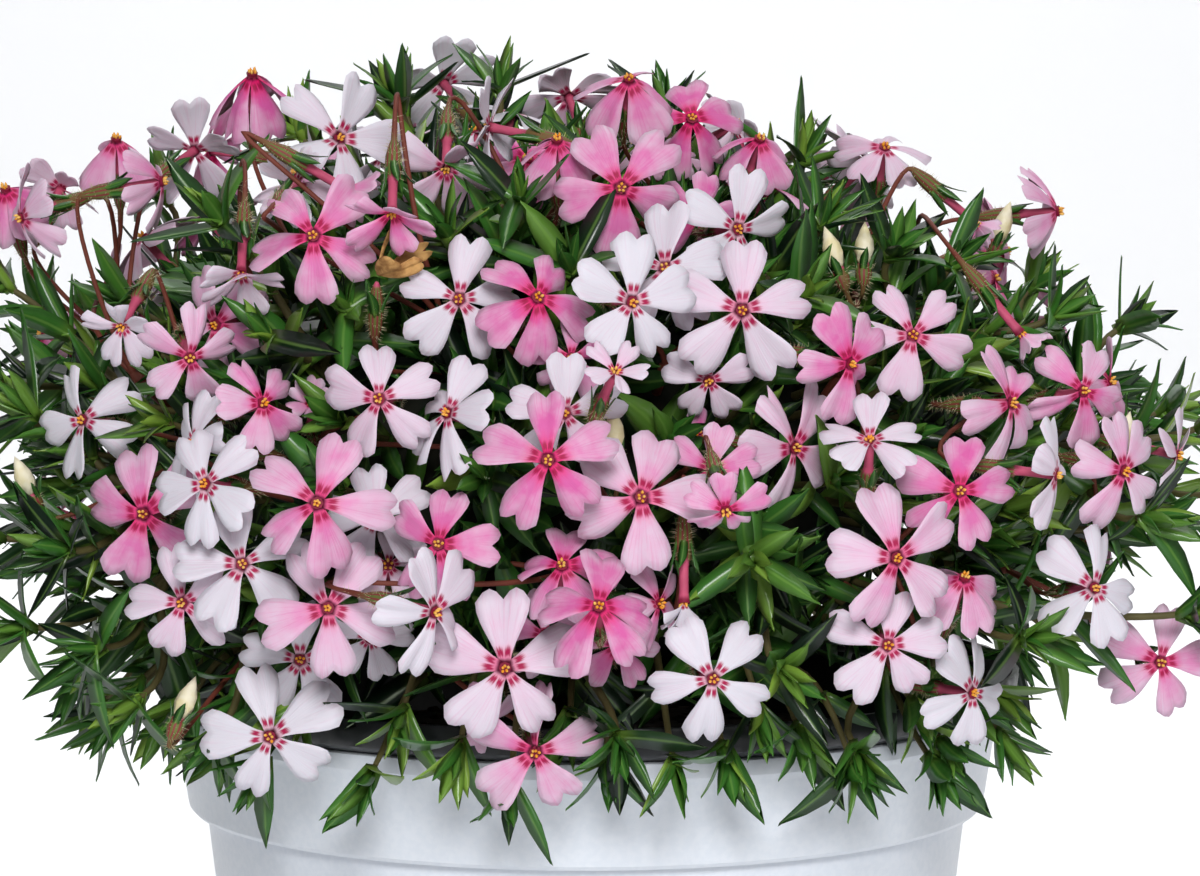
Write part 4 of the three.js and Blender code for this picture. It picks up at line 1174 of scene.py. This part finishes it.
def makeBackBlooms():
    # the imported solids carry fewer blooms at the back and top, so the rest are added here
    look = backLook
    draw = random.Random(look["seed"])
    flowers = Flowers()
    before = len(openBlooms)
    for i in range(look["tries"]):
        rise = look["lowest"] + (look["highest"] - look["lowest"]) * (i + 0.5) / look["tries"]
        way = level(i * goldenTurn, sqrt(1 - rise * rise), rise)
        if way.y < look["front"] and rise < look["crown"]:
            continue
        eye = onMound(way, draw.uniform(0.92, 1.0))
        if min((eye - other).length for other, _ in openBlooms) < look["spacing"]:
            continue
        lean = Vector((draw.gauss(0, 0.25), draw.gauss(0, 0.25), draw.uniform(0.1, 0.6)))
        facing = (way + lean).normalized()
        drop = draw.uniform(0.0, 0.35)
        length = look["petal"] * draw.uniform(0.88, 1.1)
        blades = [
            (flat * cos(drop) - facing * sin(drop), facing.cross(flat), length)
            for flat in ringOf(facing, 5, draw.uniform(0, 6))
        ]
        flowers.addBloom(eye, facing, blades, draw.choice(backTints), draw)
        rest = bezier(eye - facing * rootDepth, -facing, onMound(way, 0.6), way, 0.35, 10)
        flowers.addStalk(eye, facing, rest, "bloom")
    finished(joined("back-blooms", flowers.meshes()), "petals", "leaf_cushion")
    print("stage: back blooms made,", len(openBlooms) - before)


def makeDryFlower():
    # a spent flower, shrivelled and tan, on a calyx that still stands
    look = dryLook
    draw = random.Random(look["seed"])
    place, facing = look["place"], look["facing"].normalized()
    flowers = Flowers(dryMaterial)
    for i, flat in enumerate(ringOf(facing, look["petals"], 0.4)):
        way = (look["trail"] + flat * draw.uniform(0.2, 0.9)).normalized()
        size = (look["length"] * draw.uniform(0.7, 1.2), 5, 14)
        flowers.blades.add(place, way, flat, size, i % petalShape["variants"], 0.5)
    flowers.addSepals(place, facing, draw, "calyx")
    root = place - facing * 13
    inside = mound["centre"] + (root - mound["centre"]) * 0.6
    flowers.addStalk(place - facing * 1.5, facing, bezier(root, -facing, inside, facing, 0.35, 10), "calyx")
    finished(joined("dry-flower", flowers.meshes(look["seed"])), "petals", "leaf_cushion")
    print("stage: dry flower made")


def makeFringe():
    # shoots that lie over the rim and hang a little way down outside it
    look = fringeLook
    draw = random.Random(look["seed"])
    shoots = Shoots(draw, cushionLook["stemSides"])
    for i in range(look["twigs"]):
        ahead = level(fullTurn * (i + draw.uniform(-0.35, 0.35)) / look["twigs"])
        if inBareSide(ahead):
            continue
        start = ahead * look["startRadius"]
        start.z = look["height"] + draw.uniform(-1, 8)
        end = ahead * (look["reachRadius"] + draw.uniform(-1, 9))
        end.z = look["height"] - look["droop"] * draw.uniform(0.1, 1.0)
        drop = (ahead - up * draw.uniform(0.5, 1.6)).normalized()
        line = bezier(start, (ahead + up * 0.35).normalized(), end, -drop, 0.4, 8)
        shoots.grow(line, 0.95, 0.05, look["pairs"], 0.2, look["leafLength"], draw.uniform(-0.1, 0.2))
    finished(joined("rim-fringe", [shoots.leaves.mesh(), shoots.lines.mesh()]), "leaves", "leaf_cushion")
    print("stage: fringe made,", len(shoots.leaves.rows), "leaves")


makeCore()
makeBackBlooms()
makeCushion()
makeDryFlower()
makeFringe()


potLook = {
    "height": 158.0,
    "rimRadius": 83.0,
    "collarDepth": 21.2,
    "collarFootRadius": 79.9,
    "wallTopRadius": 76.1,
    "baseRadius": 59.7,
    "lipDepth": 3.3,
    "wall": 2.0,
    "floor": 3.0,
    "sides": 144,
    "drainRadius": 4.0,
    "drainOffset": 36.0,
    "drains": 4,
}

linerLook = {
    "rimRadius": 86.7,
    "rimHeight": 7.0,
    "ribs": 72,
    "ribDepth": 0.35,
    "sides": 288,
}

crumbShape = {"seed": 60, "variants": 4}

mixLook = {
    "seed": 41,
    "top": 146.0,
    "wallEnd": 134.8,
    "crumbs": 420,
    "sides": 96,
}


def turned(name, profile, sides, swell=None):
    points, faces, rings = [], [], []
    for r, z in profile:
        if r < 1e-6:
            rings.append([len(points)] * sides)
            points.append((0, 0, z))
            continue
        ring = []
        for k in range(sides):
            a = fullTurn * k / sides
            radius = r + (swell(r, z, a) if swell else 0)
            ring.append(len(points))
            points.append(level(a, radius, z))
        rings.append(ring)
    for low, high in zip(rings, rings[1:]):
        for k in range(sides):
            n = (k + 1) % sides
            face = []
            for corner in (low[k], low[n], high[n], high[k]):
                if corner not in face:
                    face.append(corner)
            if len(face) > 2:
                faces.append(face)
    return meshFrom(name, points, faces)


def innerRadius(z):
    look = potLook
    lean = (look["wallTopRadius"] - look["baseRadius"]) / (look["height"] - look["collarDepth"])
    return look["baseRadius"] + lean * z - look["wall"]


def makePot():
    look = potLook
    height, base, rim, floor = look["height"], look["baseRadius"], look["rimRadius"], look["floor"]
    foot, lip = height - look["collarDepth"], height - look["lipDepth"]
    wall, collar = look["wallTopRadius"], look["collarFootRadius"]
    profile = [
        (0, 0), (base - 2.2, 0), (base - 0.9, 0.3), (base - 0.2, 1.0), (base, 2.2),
        (wall, foot), (wall + 0.5, foot + 0.15),
        (collar - 1.0, foot + 0.5), (collar - 0.3, foot + 1.3), (collar, foot + 2.8),
        (rim - 1.0, lip - 1.4), (rim - 0.4, lip - 0.5), (rim, lip + 0.2),
        (rim, height - 1.1), (rim - 0.35, height - 0.3), (rim - 1.0, height),
        (rim - 2.6, height), (rim - 3.0, lip - 0.4),
        (innerRadius(foot), foot - 2), (innerRadius(floor), floor), (0, floor),
    ]
    pot = newObject("pot", turned("pot", profile, look["sides"]))
    outward(pot.data)
    drills = bmesh.new()
    for i in range(look["drains"]):
        turn = Matrix.Rotation(fullTurn / look["drains"] * i, 4, "Z")
        bmesh.ops.create_cone(
            drills, cap_ends=True, segments=24, depth=12, radius1=look["drainRadius"],
            radius2=look["drainRadius"], matrix=turn @ Matrix.Translation((look["drainOffset"], 0, 2)),
        )
    cut = pot.modifiers.new("holes", "BOOLEAN")
    cut.operation = "DIFFERENCE"
    cut.solver = "EXACT"
    cut.object = newObject("drills", meshOf("drills", drills))
    shown = pot.evaluated_get(bpy.context.evaluated_depsgraph_get())
    mesh = bpy.data.meshes.new_from_object(shown)
    bpy.data.objects.remove(cut.object)
    bpy.data.objects.remove(pot)
    potPiece("white-pot", mesh, whiteMaterial, 28, "white_plastic", "pot")


def makeLiner():
    look, pot = linerLook, potLook
    height, rim = pot["height"], pot["rimRadius"]
    foot, lip = height - pot["collarDepth"], height - pot["lipDepth"]
    outer = lambda z: innerRadius(z) - 0.35
    edge, top = look["rimRadius"], height + look["rimHeight"]
    profile = [
        (0, 3.35), (outer(3) - 0.3, 3.35), (outer(foot - 2) - 0.1, foot - 2),
        (rim - 3.5, lip - 0.4), (rim - 3.3, height + 0.35), (rim, height + 0.45),
        (edge - 1.2, height + 1.8), (edge - 0.5, height + 3.0), (edge, top - 0.5), (edge - 0.3, top),
        (edge - 1.3, top), (edge - 1.7, top - 0.6), (edge - 2.2, height + 3),
        (rim - 0.6, height + 1.6), (rim - 4.7, height + 1.4), (rim - 4.9, lip - 0.4),
        (outer(foot - 2) - 1.3, foot - 2), (outer(3) - 1.5, 4.55), (0, 4.55),
    ]

    def ribbed(r, z, a):
        if z > height + 2.5 and r > edge - 0.9:
            return -look["ribDepth"] * (0.5 + 0.5 * cos(look["ribs"] * a))
        return 0

    mesh = turned("grower pot", profile, look["sides"], ribbed)
    potPiece("black-grower-pot", mesh, blackMaterial, 40, "black_plastic", "grower_pot")


def potPiece(name, mesh, material, sharpFrom, slotName, node):
    mesh.materials.clear()
    mesh.materials.append(material)
    mesh.shade_smooth()
    mesh.set_sharp_from_angle(angle=radians(sharpFrom))
    finished(joined(name, [mesh]), slotName, node)


def crumbMesh(draw):
    crumb = bmesh.new()
    bmesh.ops.create_icosphere(crumb, subdivisions=1, radius=0.5)
    for vertex in crumb.verts:
        vertex.co *= draw.uniform(0.6, 1.15)
        vertex.co.x *= 1.3
    return meshOf("crumb", crumb)


def makeMix():
    look = mixLook
    draw = random.Random(look["seed"])
    top = look["top"]
    outer = lambda z: innerRadius(z) - 2.05
    brim = look["wallEnd"]
    profile = [
        (0, 4.95), (outer(3) - 0.3, 4.95), (outer(brim) - 0.2, brim), (outer(brim), top),
        (62, top + 0.3), (50, top), (38, top + 0.4), (25, top), (13, top), (13, top - 16), (0, top - 16),
    ]

    def rough(r, z, a):
        return 0.5 * sin(7 * a + r) if z > top - 1 and 14 < r < 65 else 0

    mesh = turned("mix", profile, look["sides"], rough)
    mesh.materials.append(soilMaterial)
    crumbs = Layout(variantsOf("crumb", crumbShape, crumbMesh), soilMaterial)
    for _ in range(look["crumbs"]):
        turn, radius = draw.uniform(0, fullTurn), 14 + 56 * sqrt(draw.random())
        size = draw.uniform(1.2, 4.0)
        way = Vector((draw.uniform(-1, 1), draw.uniform(-1, 1), draw.uniform(-0.3, 0.3)))
        spot = level(turn, radius, top + 0.1)
        crumbs.add(spot, way, up, (size, size, size * 0.6), draw.randrange(crumbShape["variants"]), 0.5)
    finished(joined("loose-potting-mix", [mesh, crumbs.mesh()]), "potting_mix", "potting_mix")


makePot()
makeLiner()
makeMix()
print("stage: pots and soil made")


studio = {
    "floor": "F7F8FA",
    "world": 0.13,
    "surround": 0.95,
    "lens": 150.8,
    # place, aim, size and power of each lamp
    "lamps": {
        "key": ((0.05, -1.4, 0.8), (0, 0, 0.2), 0.45, 16.0),
        "fill": ((1.2, -1.0, 0.6), (0, 0, 0.2), 0.9, 1.6),
        "top": ((0.1, 0.3, 1.5), (0, 0, 0.2), 0.9, 5.0),
        "backdrop": ((0, 0.9, 1.9), (0, 2.8, 0.6), 1.6, 46.0),
    },
}


def makeStage():
    line = [(-3.0, 0.0), (2.2, 0.0)]
    for k in range(1, 11):
        a = pi / 2 * k / 10
        line.append((2.2 + 0.8 * sin(a), 0.8 - 0.8 * cos(a)))
    line.append((3.0, 4.0))
    points = [(x, y, z) for y, z in line for x in (-5, 5)]
    faces = [(i, i + 1, i + 3, i + 2) for i in range(0, len(points) - 2, 2)]
    mesh = softMesh("backdrop", points, faces)
    skin = Skin("backdrop", 0.9, 0.1)
    skin.inputs["Base Color"].default_value = linear(studio["floor"])
    mesh.materials.append(skin.material)
    floor = newObject("backdrop", mesh, room)


def addLight(name, place, aim, size, power):
    lamp = bpy.data.lights.new(name, "AREA")
    lamp.shape = "DISK"
    lamp.size = size
    lamp.energy = power
    holder = newObject(name, lamp, room)
    holder.location = place
    holder.rotation_euler = (Vector(aim) - Vector(place)).to_track_quat("-Z", "Y").to_euler()


makeStage()
for name, values in studio["lamps"].items():
    addLight(name, *values)

bpy.context.scene.view_settings.view_transform = "Standard"


def makeWorld():
    # a pale surround, with little light of its own so that the mound keeps its dark gaps
    world = bpy.data.worlds.new("studio")
    bpy.context.scene.world = world
    world.use_nodes = True
    tree = world.node_tree
    glow = tree.nodes["Background"]
    glow.inputs[1].default_value = studio["world"]
    glow.inputs[0].default_value = (1, 1, 1, 1)
    seen = addNode(tree, "ShaderNodeBackground", {0: (1, 1, 1, 1), 1: studio["surround"]})
    path = tree.nodes.new("ShaderNodeLightPath")
    mix = addNode(tree, "ShaderNodeMixShader", {
        0: path.outputs["Is Camera Ray"], 1: glow.outputs[0], 2: seen.outputs[0],
    })
    tree.links.new(mix.outputs[0], tree.nodes["World Output"].inputs[0])


makeWorld()

lens = bpy.data.cameras.new("viewer")
lens.lens = studio["lens"]
lens.sensor_width = 36
viewer = newObject("viewer", lens, room)
viewer.location = sight["eye"] * 0.001
viewer.rotation_euler = (pi / 2 - sight["tilt"], 0, 0)
bpy.context.scene.camera = viewer

bpy.data.collections.remove(workshop)
